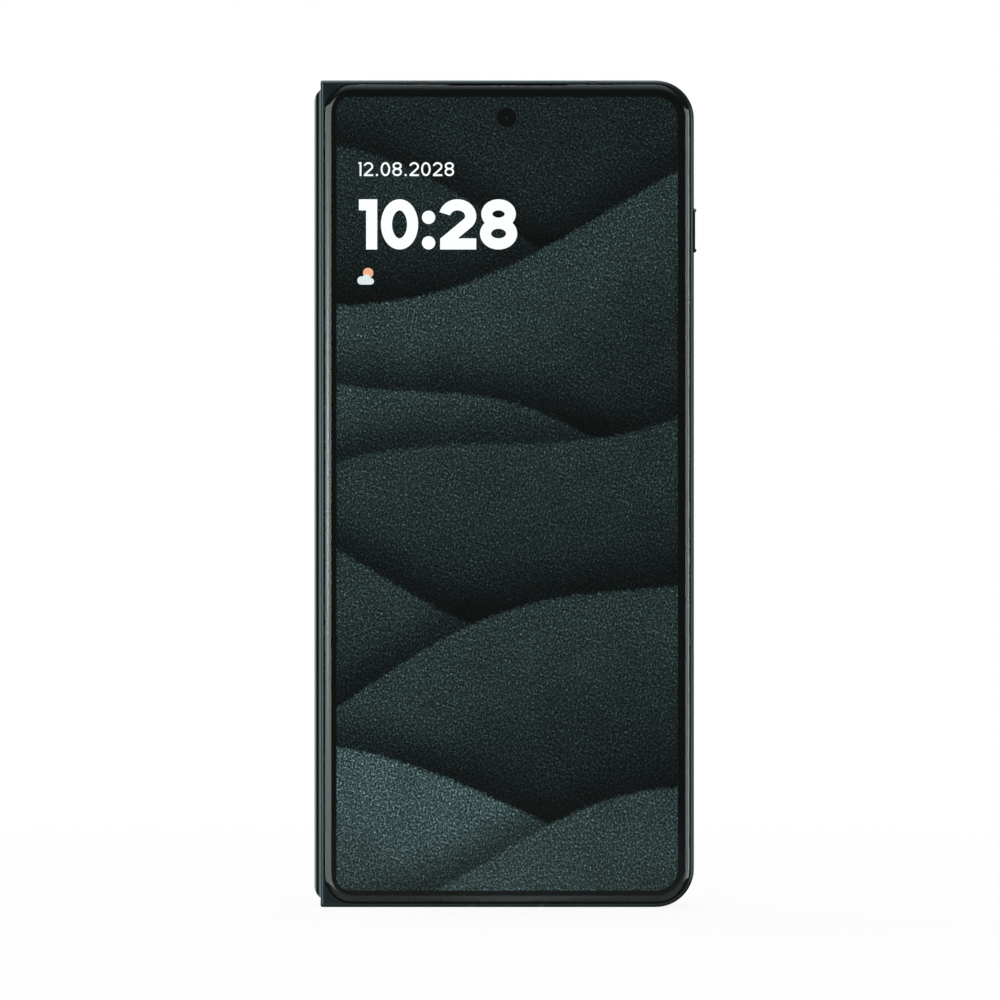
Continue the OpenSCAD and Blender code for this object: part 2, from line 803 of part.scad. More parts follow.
// Tray for the card, with a front that lies level with the bottom edge.
module card_tray() {
    half = tray_width / 2;
    color(metal) rear_side() difference() {
        union() {
            block([tray_u - half, tray_u + half], [tray_d - 0.8, tray_d + 0.8], [0.02, 1]);
            block([tray_u - half + 0.3, tray_u + half - 0.3], [tray_d - 0.5, tray_d + 0.5],
                [1, tray_depth]);
        }
        block([tray_u - 6.2, tray_u + 6.2], [tray_d - 0.2, tray_d + 1], [1.3, 10.2]);
        block([tray_u - 5, tray_u + 5], [tray_d - 1, tray_d + 1], [2, 9.5]);
    }
}

module sim_card() {
    color(gold) rear_side()
        block([tray_u - 6.15, tray_u + 6.15], [tray_d - 0.2, tray_d + 0.47], [1.35, 10.15]);
}

// Key with a low face between two rounded ridges at its ends.
module power_key() {
    ridge = 0.35;
    color(metal) rear_side() {
        key(power_v, power_length, key_proud - 0.25, inside_u + 0.15);
        intersection() {
            across([half_width - 0.6, half_width + 1]) translate([power_v, key_d()])
                stadium(power_length, key_width);
            for (end = [-1, 1])
                rod_d(half_width + key_proud - ridge,
                    power_v + end * (power_length / 2 - ridge - 0.05), ridge,
                    [key_d() - key_width, key_d() + key_width]);
        }
    }
}

module volume_rocker() {
    color(metal) rear_side() key(volume_v, volume_length, -0.02, inside_u);
}

module cover_frame() {
    color(metal) cover_side() difference() {
        half_blank("cover");
        inner_recesses();
        screen_recess();
        cavity(panel_back);
        hinge_seats();
        break_boxes();
        speaker_holes(port_u + 19, 4, [phone_length - wall - 1, phone_length + 1]);
        rod_v(port_u - 24, 2.8, 0.4, [-1, wall + 1]);
    }
}

module cover_frame_breaks() {
    color("#6d7a78") cover_side() difference() {
        intersection() {
            half_blank("cover");
            break_boxes();
        }
        inner_recesses();
        screen_recess();
    }
}

// Curved glass over the cover screen, notched at the top for the earpiece.
module cover_glass() {
    color("#1b2a2c") cover_side() difference() {
        slab("glass", [glass_margin, half_width - glass_margin],
            [glass_end_margin, phone_length - glass_end_margin],
            glass_fold_corner - seal_width, corner_radius - glass_margin);
        block([port_u - ear_slit / 2, port_u + ear_slit / 2], [glass_back - 1, outer_face + 1],
            [phone_length - glass_end_margin - ear_slit_depth, phone_length]);
    }
}

module seal_ring(d, slit_depth) {
    difference() {
        plate(d) outline([glass_inset, half_width - glass_inset],
            [glass_end_inset, phone_length - glass_end_inset],
            glass_fold_corner, corner_radius - glass_inset);
        plate([d[0] - 1, d[1] + 1]) outline([glass_margin, half_width - glass_margin],
            [glass_end_margin, phone_length - glass_end_margin],
            glass_fold_corner - seal_width, corner_radius - glass_margin);
        block([port_u - ear_slit / 2, port_u + ear_slit / 2], [d[0] - 1, d[1] + 1],
            [phone_length - glass_end_margin - slit_depth, phone_length]);
    }
}

module cover_glass_seal() {
    color("#050606") cover_side() seal_ring([panel_face, cover_face - 0.04], ear_slit_depth);
}

// Printed black border under the glass, open where the picture shows and over the camera.
module cover_glass_border() {
    color("#0b0c0d") cover_side() difference() {
        plate([panel_face, glass_back]) outline([glass_margin, half_width - glass_margin],
            [glass_end_margin, phone_length - glass_end_margin - ear_slit_depth],
            glass_fold_corner - seal_width, corner_radius - glass_margin);
        plate([panel_face - 1, glass_back + 1]) picture_outline();
    }
}

// Edge of the picture on the cover screen.
module picture_outline() {
    margin = glass_margin + border;
    outline([margin, half_width - margin], [margin + 0.1, phone_length - margin - 0.1],
        2.6, corner_radius - margin);
}

function cover_camera_u() = half_width / 2 - 0.1;
function cover_camera_v() = phone_length - 7.25;

module cover_screen() {
    color("#1c2a2a") cover_side() difference() {
        union() {
            plate([panel_back, panel_face]) panel_outline(0);
            plate([panel_face - 0.01, glass_back]) picture_outline();
        }
        rod_d(cover_camera_u(), cover_camera_v(), cover_camera_hole / 2, [0, 9]);
    }
}

module cover_camera() {
    u = cover_camera_u();
    v = cover_camera_v();
    color(black) cover_side() {
        block([u - 3, u + 3], [web_back, panel_back], [v - 3, v + 3]);
        rod_d(u, v, cover_camera_hole / 2 - 0.1, [panel_back - 0.1, glass_back - 0.05]);
    }
}

module earpiece() {
    color(black) cover_side()
        block([port_u + 5, port_u + 17], [web_back, panel_back - 0.05],
            [phone_length - 12, phone_length - wall - 0.1]);
}

// Thin mesh that closes the slit above the glass.
module earpiece_mesh() {
    color("#0a0a0a") cover_side()
        block([port_u - ear_slit / 2 + 0.05, port_u + ear_slit / 2 - 0.05],
            [panel_face, cover_face - 0.06],
            [phone_length - glass_end_margin - ear_slit_depth + 0.02,
                phone_length - glass_end_inset - 0.02]);
}

module cover_battery() {
    color("#3a3d40") cover_side()
        block([wing_room + 1, inside_u - 5], [web_back, panel_back - 0.05],
            [34, phone_length - 20]);
}

// Boards above and below the battery.
module cover_board() {
    color(board_green) cover_side() {
        block([wing_room + 1, inside_u - 8], [web_back, web_back + board_thickness], [6, 33]);
        block([wing_room + 1, cover_camera_u() - 4], [web_back, web_back + board_thickness],
            [phone_length - 18, phone_length - 5]);
    }
}

module top_speaker() {
    color(black) cover_side()
        block([port_u + 17.5, port_u + 26.5], [web_back, panel_back - 0.05],
            [phone_length - 15, phone_length - wall - 0.1]);
}

module cover_magnets() {
    color(steel) cover_side() magnets();
}

module cover_display_sheet() {
    color(steel) cover_side() display_sheet();
}

module inner_display_cover() {
    color("#101a1c") cover_side() display_half();
}

module inner_border_cover() {
    color(black) cover_side() inner_border();
}

module cover_hinge_arms() {
    color(dark_metal) cover_side() hinge_arms(-cover_arm_tooth);
}

module cover_hinge_pins() {
    color(steel) cover_side() hinge_pins();
}

// Cross-section of the spine: two arcs about the fold axes and a flat between them.
module spine_section(radius, edge_u) {
    difference() {
        union() {
            for (side = [-1, 1]) translate([axis_u, side * axis_d]) circle(radius);
            translate([axis_u - radius, -axis_d]) square([radius, 2 * axis_d]);
        }
        translate([edge_u, -9]) square([9, 18]);
    }
}

// Side view of the spine with its round corners, drawn in u and v.
module spine_profile(inset) {
    outline([-spine_out + inset, 9], [spine_end + inset, phone_length - spine_end - inset],
        spine_corner - inset, 0);
}

module spine_cover() {
    color("#41585b") rear_side() difference() {
        intersection() {
            linear_extrude(phone_length) spine_section(spine_radius, spine_edge_u);
            plate([-9, 9]) spine_profile(0);
        }
        intersection() {
            linear_extrude(phone_length) spine_section(spine_radius - spine_wall, 8);
            plate([-9, 9]) spine_profile(spine_wall);
        }
    }
}

// Bearing blocks in the spine's ends for the hinge pins and the idler gears.
module hinge_blocks() {
    width = axis_d + 0.85;
    color(dark_metal) rear_side() {
        both_ends() difference() {
            intersection() {
                linear_extrude(phone_length)
                    spine_section(spine_radius - spine_wall, block_top_u);
                block([-spine_out, block_top_u], [-width, width], block_v);
                union() {
                    plate([-9, 9]) spine_profile(spine_wall);
                    intersection() {
                        plate([-9, 9]) spine_profile(0);
                        block([spine_edge_u + 0.02, 9], [-9, 9], [0, phone_length]);
                    }
                }
            }
            for (side = [-1, 1]) {
                rod_v(axis_u, side * axis_d, pin_diameter / 2 + running_play, [0, 9]);
                rod_v(idler_u, side * idler_pitch, 0.25 + running_play,
                    [block_v[1] - 0.6, block_v[1] + 1]);
            }
        }
        // Rail on the spine's floor that the lift plate runs on, with a gap for the ribbon
        for (v = [[fold_end + 1, flex_v - 2],
            [flex_v + flex_width + 2, phone_length - fold_end - 1]])
            block([spine_wall - spine_out, 0.2], [-0.28, 0.28], v);
    }
}

// Caps that close the ends of the fold between the two inner borders.
module hinge_end_caps() {
    color(black) rear_side() both_ends() {
        block([block_top_u, block_top_u + 0.3], [-2.6, 2.6], [spine_end + 0.05, block_v[1]]);
        block([block_top_u, block_top_u + 0.3], [-0.45, 0.45], [block_v[1] - 0.1, fold_end - 0.05]);
    }
}

// Ribbon that lies in the spine between the two halves.
module hinge_flex() {
    inner = spine_radius - spine_wall;
    color("#7a5a2a") rear_side() translate([0, 0, flex_v]) linear_extrude(flex_width) difference() {
        spine_section(inner, -0.2);
        spine_section(inner - 0.12, 8);
    }
}

module idler_gears(side, tooth) {
    both_ends() translate([idler_u, side * idler_pitch, 0]) {
        translate([0, 0, gear_v]) linear_extrude(gear_thickness)
            polygon(gear_outline(idler_teeth, tooth));
        rod_v(0, 0, 0.25, [block_v[1] - 0.55, gear_v + 0.1]);
    }
}

module rear_idler_gears() {
    color(gold) rear_side() idler_gears(1, rear_idler_tooth);
}

module cover_idler_gears() {
    color(gold) rear_side() idler_gears(-1, cover_idler_tooth);
}

// Plate behind the middle of the fold, which rises as the phone opens.
module lift_plate() {
    v = [fold_end + 0.05, phone_length - fold_end - 0.05];
    color(steel) rear_side() {
        block([lift_top - lift_thickness, lift_top], [-0.6, 0.6], v);
        for (side = [-1, 1])
            translate([0, side * 0.47, 0])
                block([-0.45, lift_top - 0.1], [-0.13, 0.13], v);
    }
}

// Plate behind the bent part of the display, hinged on two stubs in the frame.
module wing_plate() {
    half = wing_thickness / 2;
    translate([wing_pivot_u, wing_d, 0]) rotate([0, 0, -wing_tilt]) {
        translate([0, 0, fold_end + 0.05]) linear_extrude(phone_length - 2 * fold_end - 0.1) {
            circle(half);
            translate([wing_tip - wing_pivot_u, -half])
                square([wing_pivot_u - wing_tip, wing_thickness]);
        }
        rod_v(0, 0, half, [rim - 0.5, phone_length - rim + 0.5]);
    }
}

module rear_wing_plate() {
    color(steel) rear_side() wing_plate();
}

module cover_wing_plate() {
    color(steel) cover_side() wing_plate();
}

// Points along the display's loop, set out from its middle by more: in along one wing plate,
// round the spine and back along the other plate to end_u.
function loop_path(more, end_u) =
    let (radius = loop_radius + more,
        end_d = radius * cos(wing_tilt)
            - (end_u - loop_u - radius * sin(wing_tilt)) * tan(wing_tilt),
        turn = 180 + 2 * wing_tilt,
        steps = 40)
    concat([[end_u, end_d]],
        [for (i = [0:steps]) let (angle = 90 - wing_tilt + i * turn / steps)
            [loop_u + radius * cos(angle), radius * sin(angle)]],
        [[end_u, -end_d]]);

function backwards(path) = [for (i = [len(path) - 1:-1:0]) path[i]];

// The bent part of the display, from one half round the spine to the other.
module display_fold() {
    color("#101a1c") rear_side() translate([0, 0, fold_end])
        linear_extrude(phone_length - 2 * fold_end)
            polygon(concat(loop_path(flex_thickness / 2, wing_pivot_u - 0.02),
                backwards(loop_path(-flex_thickness / 2, wing_pivot_u - 0.02))));
}

rear_frame();
rear_frame_breaks();
rear_cover();
camera_island();
camera_rings();
camera_lenses();
camera_modules();
flash();
main_board();
processor_shield();
board_screws();
main_battery();
charging_coil();
bottom_speaker();
usb_board();
usb_shell();
usb_tongue();
bottom_flex();
vibration_motor();
card_reader();
key_switches();
rear_magnets();
inner_camera();
rear_display_sheet();
inner_display_rear();
inner_border_rear();
rear_hinge_arms();
rear_hinge_pins();
rear_wing_plate();
card_tray();
sim_card();
power_key();
volume_rocker();
cover_frame();
cover_frame_breaks();
cover_glass();
cover_glass_seal();
cover_glass_border();
cover_screen();
cover_camera();
earpiece();
earpiece_mesh();
cover_battery();
cover_board();
top_speaker();
cover_magnets();
cover_display_sheet();
inner_display_cover();
inner_border_cover();
cover_hinge_arms();
cover_hinge_pins();
cover_wing_plate();
spine_cover();
hinge_blocks();
hinge_end_caps();
hinge_flex();
rear_idler_gears();
cover_idler_gears();
lift_plate();
display_fold();
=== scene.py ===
import math
import bmesh
import bpy
import numpy as np
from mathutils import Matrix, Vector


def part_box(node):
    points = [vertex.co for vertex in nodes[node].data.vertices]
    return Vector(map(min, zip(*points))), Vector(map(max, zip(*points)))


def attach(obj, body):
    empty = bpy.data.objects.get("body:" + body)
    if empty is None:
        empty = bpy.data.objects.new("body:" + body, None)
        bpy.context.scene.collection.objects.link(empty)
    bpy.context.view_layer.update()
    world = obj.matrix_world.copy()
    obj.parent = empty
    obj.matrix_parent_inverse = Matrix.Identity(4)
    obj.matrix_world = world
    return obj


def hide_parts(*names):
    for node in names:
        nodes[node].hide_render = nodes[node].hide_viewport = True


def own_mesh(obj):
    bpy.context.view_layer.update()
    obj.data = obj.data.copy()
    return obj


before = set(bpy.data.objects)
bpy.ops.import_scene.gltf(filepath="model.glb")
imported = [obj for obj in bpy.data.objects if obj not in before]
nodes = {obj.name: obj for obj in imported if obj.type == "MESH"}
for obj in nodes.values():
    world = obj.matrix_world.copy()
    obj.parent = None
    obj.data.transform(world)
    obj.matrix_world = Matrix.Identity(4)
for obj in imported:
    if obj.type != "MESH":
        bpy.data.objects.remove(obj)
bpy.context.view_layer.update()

mm = 0.001

# Where the phone's own directions lie in the row frame: u from the fold to the free edge, d out
# from the shut gap and v up, all in millimetres
place = {"originU": 35.87, "originD": 1.425, "length": 160.05, "width": 72.3}


def rearPoint(u, d, v):
    # x = u - originU, y = d - originD, z = v, on arrays or single numbers
    u, d, v = np.broadcast_arrays(u, d, v)
    return np.stack([u - place["originU"], d - place["originD"], v], -1) * mm


def coverPoint(u, d, v):
    # The same with the depth turned towards the viewer
    u, d, v = np.broadcast_arrays(u, d, v)
    return np.stack([u - place["originU"], -d - place["originD"], v], -1) * mm


# ---- camera: straight on to the cover glass, through a long lens
shot = {"lens": 200, "aimX": -1.11, "aimZ": 78.82, "distance": 1080.9}
cameraData = bpy.data.cameras.new("camera")
cameraData.lens = shot["lens"]
cameraData.sensor_width = 36
cameraData.clip_start = 0.01
camera = bpy.data.objects.new("camera", cameraData)
camera.location = (shot["aimX"] * mm, -shot["distance"] * mm, shot["aimZ"] * mm)
camera.rotation_euler = (math.pi / 2, 0, 0)
bpy.context.scene.collection.objects.link(camera)
bpy.context.scene.camera = camera
bpy.context.scene.view_settings.view_transform = "Standard"


# ---- helpers for materials
def linearColour(hexValue):
    # sRGB hex to linear: c/12.92 below 0.04045, otherwise ((c + 0.055)/1.055)^2.4
    parts = [int(hexValue[i:i + 2], 16) / 255 for i in (1, 3, 5)]
    return [p / 12.92 if p <= 0.04045 else ((p + 0.055) / 1.055) ** 2.4 for p in parts] + [1.0]


def addNode(tree, kind, inputs=None, output=0, **settings):
    # Adds one node and gives back one of its outputs; an input is a value or an output to link from
    node = tree.nodes.new("ShaderNode" + kind)
    for key, value in settings.items():
        setattr(node, key, value)
    for key, value in (inputs or {}).items():
        if isinstance(value, bpy.types.NodeSocket):
            tree.links.new(value, node.inputs[key])
        else:
            node.inputs[key].default_value = value
    return node.outputs[output] if len(node.outputs) else node


def newMaterial(name):
    material = bpy.data.materials.new(name)
    material.use_nodes = True
    material.node_tree.nodes.clear()
    return material, material.node_tree


# ---- helpers for shapes
def makePiece(name, points, faces):
    mesh = bpy.data.meshes.new(name)
    mesh.from_pydata(np.asarray(points).reshape(-1, 3).tolist(), [], faces)
    mesh.update()
    piece = bpy.data.objects.new(name, mesh)
    bpy.context.scene.collection.objects.link(piece)
    return piece


def gridMesh(name, points, closedAcross=False, closedAlong=False, uv=None, capEnds=False):
    # points is rows by columns by xyz; quads join neighbours, and a closed direction joins its ends
    rows, columns = points.shape[:2]
    index = np.arange(rows * columns).reshape(rows, columns)
    if closedAcross:
        index = np.concatenate([index, index[:, :1]], 1)
    if closedAlong:
        index = np.concatenate([index, index[:1]], 0)
    quads = np.stack([index[:-1, :-1], index[:-1, 1:], index[1:, 1:], index[1:, :-1]], -1)
    faces = quads.reshape(-1, 4).tolist()
    if capEnds:
        faces += [index[0, :columns][::-1].tolist(), index[-1, :columns].tolist()]
    piece = makePiece(name, points, faces)
    if uv is not None:
        corner = np.zeros(len(piece.data.loops), np.int32)
        piece.data.loops.foreach_get("vertex_index", corner)
        layer = piece.data.uv_layers.new(name="picture")
        layer.data.foreach_set("uv", uv.reshape(-1, 2)[corner].astype(np.float32).ravel())
    return piece


def smooth(piece, sharpAngle=None, flatFaces=0):
    # flatFaces is how many of the last faces keep their own flat shading
    shaded = np.ones(len(piece.data.polygons), bool)
    shaded[len(shaded) - flatFaces:] = False
    piece.data.polygons.foreach_set("use_smooth", shaded)
    if sharpAngle:
        piece.data.set_sharp_from_angle(angle=math.radians(sharpAngle))
    return piece


def mergeDoubles(piece):
    welded = bmesh.new()
    welded.from_mesh(piece.data)
    bmesh.ops.remove_doubles(welded, verts=welded.verts, dist=1e-7)
    welded.to_mesh(piece.data)
    welded.free()
    return piece


def latheMesh(name, profile, centre, facing, turns=64):
    # A profile of (radius, depth), from the middle of its outer face round to the middle of its
    # back, carried round an axis along the phone's depth: u = radius cos(angle), v = radius
    # sin(angle). facing is +1 on the rear half and -1 on the cover half
    profile = np.array(profile, float)
    angle = np.linspace(0, 2 * math.pi, turns, endpoint=False)
    radius, depth = profile[:, :1], profile[:, 1:]
    u = centre[0] + radius * np.cos(angle)
    v = centre[1] - facing * radius * np.sin(angle)
    toPoint = rearPoint if facing > 0 else coverPoint
    return mergeDoubles(gridMesh(name, toPoint(u, depth + 0 * u, v), closedAcross=True))


def addPiece(piece, body, material, slot, *replaced):
    piece.data.materials.clear()
    piece.data.materials.append(material)
    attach(piece, body)
    if replaced:
        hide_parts(*replaced)
    return piece


print("scene: camera and helpers ready")


# ---- materials
# Anodised aluminium: fine-blasted metal under a dark green dye, which scatters some of the light
def anodisedAluminium(name, dark, light, roughness, metal):
    material, tree = newMaterial(name)
    spot = addNode(tree, "TexCoord", output="Object")
    cloud = addNode(tree, "TexNoise", {"Vector": spot, "Scale": 1 / (9 * mm), "Detail": 1.0})
    # Real blast grain is 0.03 mm, drawn coarser
    blast = addNode(tree, "TexNoise", {"Vector": spot, "Scale": 1 / (0.12 * mm), "Detail": 3.0})
    colour = addNode(tree, "Mix", {0: cloud, 6: linearColour(dark), 7: linearColour(light)}, 2,
        data_type="RGBA")
    rough = addNode(tree, "MapRange", {"Value": blast, "To Min": roughness - 0.04,
        "To Max": roughness + 0.04})
    normal = addNode(tree, "Bump", {"Height": blast, "Strength": 0.1, "Distance": 0.003 * mm})
    shader = addNode(tree, "BsdfPrincipled", {"Base Color": colour, "Metallic": metal,
        "Specular IOR Level": 0.2, "Roughness": rough, "Normal": normal})
    addNode(tree, "OutputMaterial", {"Surface": shader})
    return material


# Moulded plastic, such as polycarbonate: satin, with a faint texture from the mould
def mouldedPlastic(name, dark, light, roughness, grainMm=0.3, specular=0.5):
    material, tree = newMaterial(name)
    spot = addNode(tree, "TexCoord", output="Object")
    texture = addNode(tree, "TexNoise", {"Vector": spot, "Scale": 1 / (grainMm * mm),
        "Detail": 3.0})
    colour = addNode(tree, "Mix", {0: texture, 6: linearColour(dark), 7: linearColour(light)}, 2,
        data_type="RGBA")
    rough = addNode(tree, "MapRange", {"Value": texture, "To Min": roughness - 0.05,
        "To Max": roughness + 0.08})
    normal = addNode(tree, "Bump", {"Height": texture, "Strength": 0.2, "Distance": 0.01 * mm})
    shader = addNode(tree, "BsdfPrincipled", {"Base Color": colour, "IOR": 1.5, "Roughness": rough,
        "Specular IOR Level": specular, "Normal": normal})
    addNode(tree, "OutputMaterial", {"Surface": shader})
    return material


# Stainless steel sheet: fine rolling lines along the phone's length
def rolledSteel(name, dark, light, roughness):
    material, tree = newMaterial(name)
    spot = addNode(tree, "TexCoord", output="Object")
    drawn = addNode(tree, "Mapping", {"Vector": spot, "Scale": (1, 1, 0.03)})
    lines = addNode(tree, "TexNoise", {"Vector": drawn, "Scale": 1 / (0.2 * mm), "Detail": 3.0})
    colour = addNode(tree, "Mix", {0: lines, 6: linearColour(dark), 7: linearColour(light)}, 2,
        data_type="RGBA")
    rough = addNode(tree, "MapRange", {"Value": lines, "To Min": roughness - 0.08,
        "To Max": roughness + 0.08})
    normal = addNode(tree, "Bump", {"Height": lines, "Strength": 0.2, "Distance": 0.006 * mm})
    shader = addNode(tree, "BsdfPrincipled", {"Base Color": colour, "Metallic": 1.0,
        "Roughness": rough, "Normal": normal})
    addNode(tree, "OutputMaterial", {"Surface": shader})
    return material


# Toughened glass: clear, so it is see-through with a sharp reflection on its outer side only
def toughenedGlass(name, tint, index, roughness):
    material, tree = newMaterial(name)
    spot = addNode(tree, "TexCoord", output="Object")
    inside = addNode(tree, "NewGeometry", output="Backfacing")
    fresnel = addNode(tree, "Fresnel", {"IOR": index})
    outside = addNode(tree, "Math", {0: 1.0, 1: inside}, operation="SUBTRACT")
    share = addNode(tree, "Math", {0: fresnel, 1: outside}, operation="MULTIPLY")
    smear = addNode(tree, "TexNoise", {"Vector": spot, "Scale": 1 / (25 * mm), "Detail": 2.0})
    rough = addNode(tree, "MapRange", {"Value": smear, "To Min": roughness,
        "To Max": roughness + 0.02})
    clear = addNode(tree, "BsdfTransparent", {"Color": linearColour(tint)})
    # Its coating gives what it mirrors a faint green
    gloss = addNode(tree, "BsdfGlossy", {"Color": linearColour("#f1fffa"), "Roughness": rough})
    shader = addNode(tree, "MixShader", {0: share, 1: clear, 2: gloss})
    addNode(tree, "OutputMaterial", {"Surface": shader})
    return material


# Silicone-coated back panel: fine pebbled grain, soft to the touch and almost matt
def pebbledSilicone(name, dark, light):
    material, tree = newMaterial(name)
    spot = addNode(tree, "TexCoord", output="Object")
    pebbles = addNode(tree, "TexVoronoi", {"Vector": spot, "Scale": 1 / (0.55 * mm),
        "Smoothness": 0.6}, feature="SMOOTH_F1")
    cloud = addNode(tree, "TexNoise", {"Vector": spot, "Scale": 1 / (12 * mm), "Detail": 2.0})
    fleck = addNode(tree, "TexNoise", {"Vector": spot, "Scale": 1 / (0.18 * mm), "Detail": 2.0})
    height = addNode(tree, "Math", {0: fleck, 1: 0.3, 2: pebbles}, operation="MULTIPLY_ADD")
    colour = addNode(tree, "Mix", {0: cloud, 6: linearColour(dark), 7: linearColour(light)}, 2,
        data_type="RGBA")
    rough = addNode(tree, "MapRange", {"Value": pebbles, "To Min": 0.5, "To Max": 0.72})
    normal = addNode(tree, "Bump", {"Height": height, "Strength": 0.35, "Distance": 0.05 * mm})
    shader = addNode(tree, "BsdfPrincipled", {"Base Color": colour, "IOR": 1.45,
        "Roughness": rough, "Normal": normal})
    addNode(tree, "OutputMaterial", {"Surface": shader})
    return material


# Circuit board: glass fibre under green solder mask, whose copper tracks show as darker lines
def circuitBoard(name):
    material, tree = newMaterial(name)
    spot = addNode(tree, "TexCoord", output="Object")
    turned = addNode(tree, "Mapping", {"Vector": spot, "Rotation": (math.pi / 2, 0, 0)})
    tracks = addNode(tree, "TexBrick", {"Vector": turned, "Scale": 1 / (4 * mm),
        "Mortar Size": 0.03, "Color1": linearColour("#1d4a38"), "Color2": linearColour("#23573f"),
        "Mortar": linearColour("#11301f")}, offset=0.37)
    shader = addNode(tree, "BsdfPrincipled", {"Base Color": tracks, "IOR": 1.5, "Roughness": 0.35})
    addNode(tree, "OutputMaterial", {"Surface": shader})
    return material


# Wound copper: enamelled turns 0.35 mm apart round the coil's middle, with painted shade in the
# grooves and a painted highlight on the crests
def woundCopper(name, middle):
    material, tree = newMaterial(name)
    spot = addNode(tree, "TexCoord", output="Object")
    centred = addNode(tree, "Mapping", {"Vector": spot, "Location": (-middle[0], 0, -middle[2])})
    turns = addNode(tree, "TexWave", {"Vector": centred, "Scale": 1 / (0.35 * mm) / 20},
        wave_type="RINGS", rings_direction="Y")
    # Painted shade and highlight: the colour goes dark in each groove and light on each crest,
    # following the bump's rings
    colour = addNode(tree, "Mix", {0: turns, 6: linearColour("#5b2f1a"),
        7: linearColour("#b4713f")}, 2, data_type="RGBA")
    normal = addNode(tree, "Bump", {"Height": turns, "Strength": 0.5, "Distance": 0.1 * mm})
    shader = addNode(tree, "BsdfPrincipled", {"Base Color": colour, "Metallic": 1.0,
        "Roughness": 0.35, "Normal": normal})
    addNode(tree, "OutputMaterial", {"Surface": shader})
    return material


# Acrylic flash lens: pressed rings 0.3 mm apart over a warm yellow phosphor
def pressedAcrylic(name, middle):
    material, tree = newMaterial(name)
    spot = addNode(tree, "TexCoord", output="Object")
    centred = addNode(tree, "Mapping", {"Vector": spot, "Location": (-middle[0], 0, -middle[2])})
    rings = addNode(tree, "TexWave", {"Vector": centred, "Scale": 1 / (0.3 * mm) / 20},
        wave_type="RINGS", rings_direction="Y")
    away = addNode(tree, "VectorMath", {0: centred, 1: (1, 0, 1)}, operation="MULTIPLY")
    away = addNode(tree, "VectorMath", {0: away}, 1, operation="LENGTH")
    core = addNode(tree, "MapRange", {"Value": away, "From Min": 0.9 * mm, "From Max": 1.7 * mm},
        interpolation_type="SMOOTHSTEP")
    colour = addNode(tree, "Mix", {0: core, 6: linearColour("#d9c26a"),
        7: linearColour("#dcdcd2")}, 2, data_type="RGBA")
    normal = addNode(tree, "Bump", {"Height": rings, "Strength": 0.4, "Distance": 0.05 * mm})
    shader = addNode(tree, "BsdfPrincipled", {"Base Color": colour, "IOR": 1.49,
        "Roughness": 0.12, "Normal": normal})
    addNode(tree, "OutputMaterial", {"Surface": shader})
    return material


# Coated optical glass: near black, with a violet-blue tint to its reflection from its
# anti-reflection layers, plus a painted sheen
def coatedLens(name):
    material, tree = newMaterial(name)
    # Painted sheen: the base colour turns from near black to violet-blue at glancing angles
    rim = addNode(tree, "LayerWeight", {"Blend": 0.35}, "Facing")
    colour = addNode(tree, "Mix", {0: rim, 6: linearColour("#05070c"),
        7: linearColour("#141a2c")}, 2, data_type="RGBA")
    shader = addNode(tree, "BsdfPrincipled", {"Base Color": colour, "IOR": 1.75,
        "Roughness": 0.03, "Specular Tint": linearColour("#9aa6e0")})
    addNode(tree, "OutputMaterial", {"Surface": shader})
    return material


# Lit pixels: one even colour that the screen gives off
def litPixels(name, colour):
    material, tree = newMaterial(name)
    spot = addNode(tree, "TexCoord", output="Object")
    # Real pixels are 0.06 mm, drawn coarser
    pitch = addNode(tree, "TexNoise", {"Vector": spot, "Scale": 1 / (0.08 * mm), "Detail": 0.0})
    glow = addNode(tree, "Mix", {0: pitch, 6: [0.97 * c for c in linearColour(colour)],
        7: [1.03 * c for c in linearColour(colour)]}, 2, data_type="RGBA")
    shader = addNode(tree, "BsdfPrincipled", {"Base Color": linearColour("#101010"),
        "Specular IOR Level": 0.0, "Emission Color": glow, "Emission Strength": 1.1})
    addNode(tree, "OutputMaterial", {"Surface": shader})
    return material


# ---- the picture on the screens: overlapping dunes of dark green felt, made up for this phone
felt = {
    "tint": (0.61, 1.0, 1.02), "topTone": 0.007,
    # base, slope, wave height, waves per decimetre, phase and tone of each dune, from the top down
    "dunes": [
        (1.47, -0.42, 0.050, 0.95, 0.10, 0.009), (1.20, 0.30, 0.060, 0.80, 0.55, 0.019),
        (1.08, -0.35, 0.045, 1.10, 0.80, 0.018), (0.80, 0.34, 0.070, 0.75, 0.25, 0.013),
        (0.70, -0.30, 0.050, 1.00, 0.40, 0.014), (0.40, 0.38, 0.055, 0.90, 0.95, 0.016),
        (0.30, -0.26, 0.040, 0.85, 0.15, 0.036), (0.02, 0.28, 0.050, 1.05, 0.65, 0.023)],
    "edgeSoft": 0.008, "rimWidth": 0.012, "rimGain": 0.35, "shadowWidth": 0.11,
    "shadowDepth": 0.7, "fadeWidth": 0.36, "fadeTo": 0.42, "fray": 0.03, "frayScale": 110.0,
    # real pile is 0.1 mm, drawn coarser
    "pileMm": 0.36, "contrast": 12.0, "combTurn": 0.25, "combStretch": 0.8,
    "patchScale": 14.0, "patchGain": (0.65, 1.35), "acrossGain": (1.3, 0.85)}


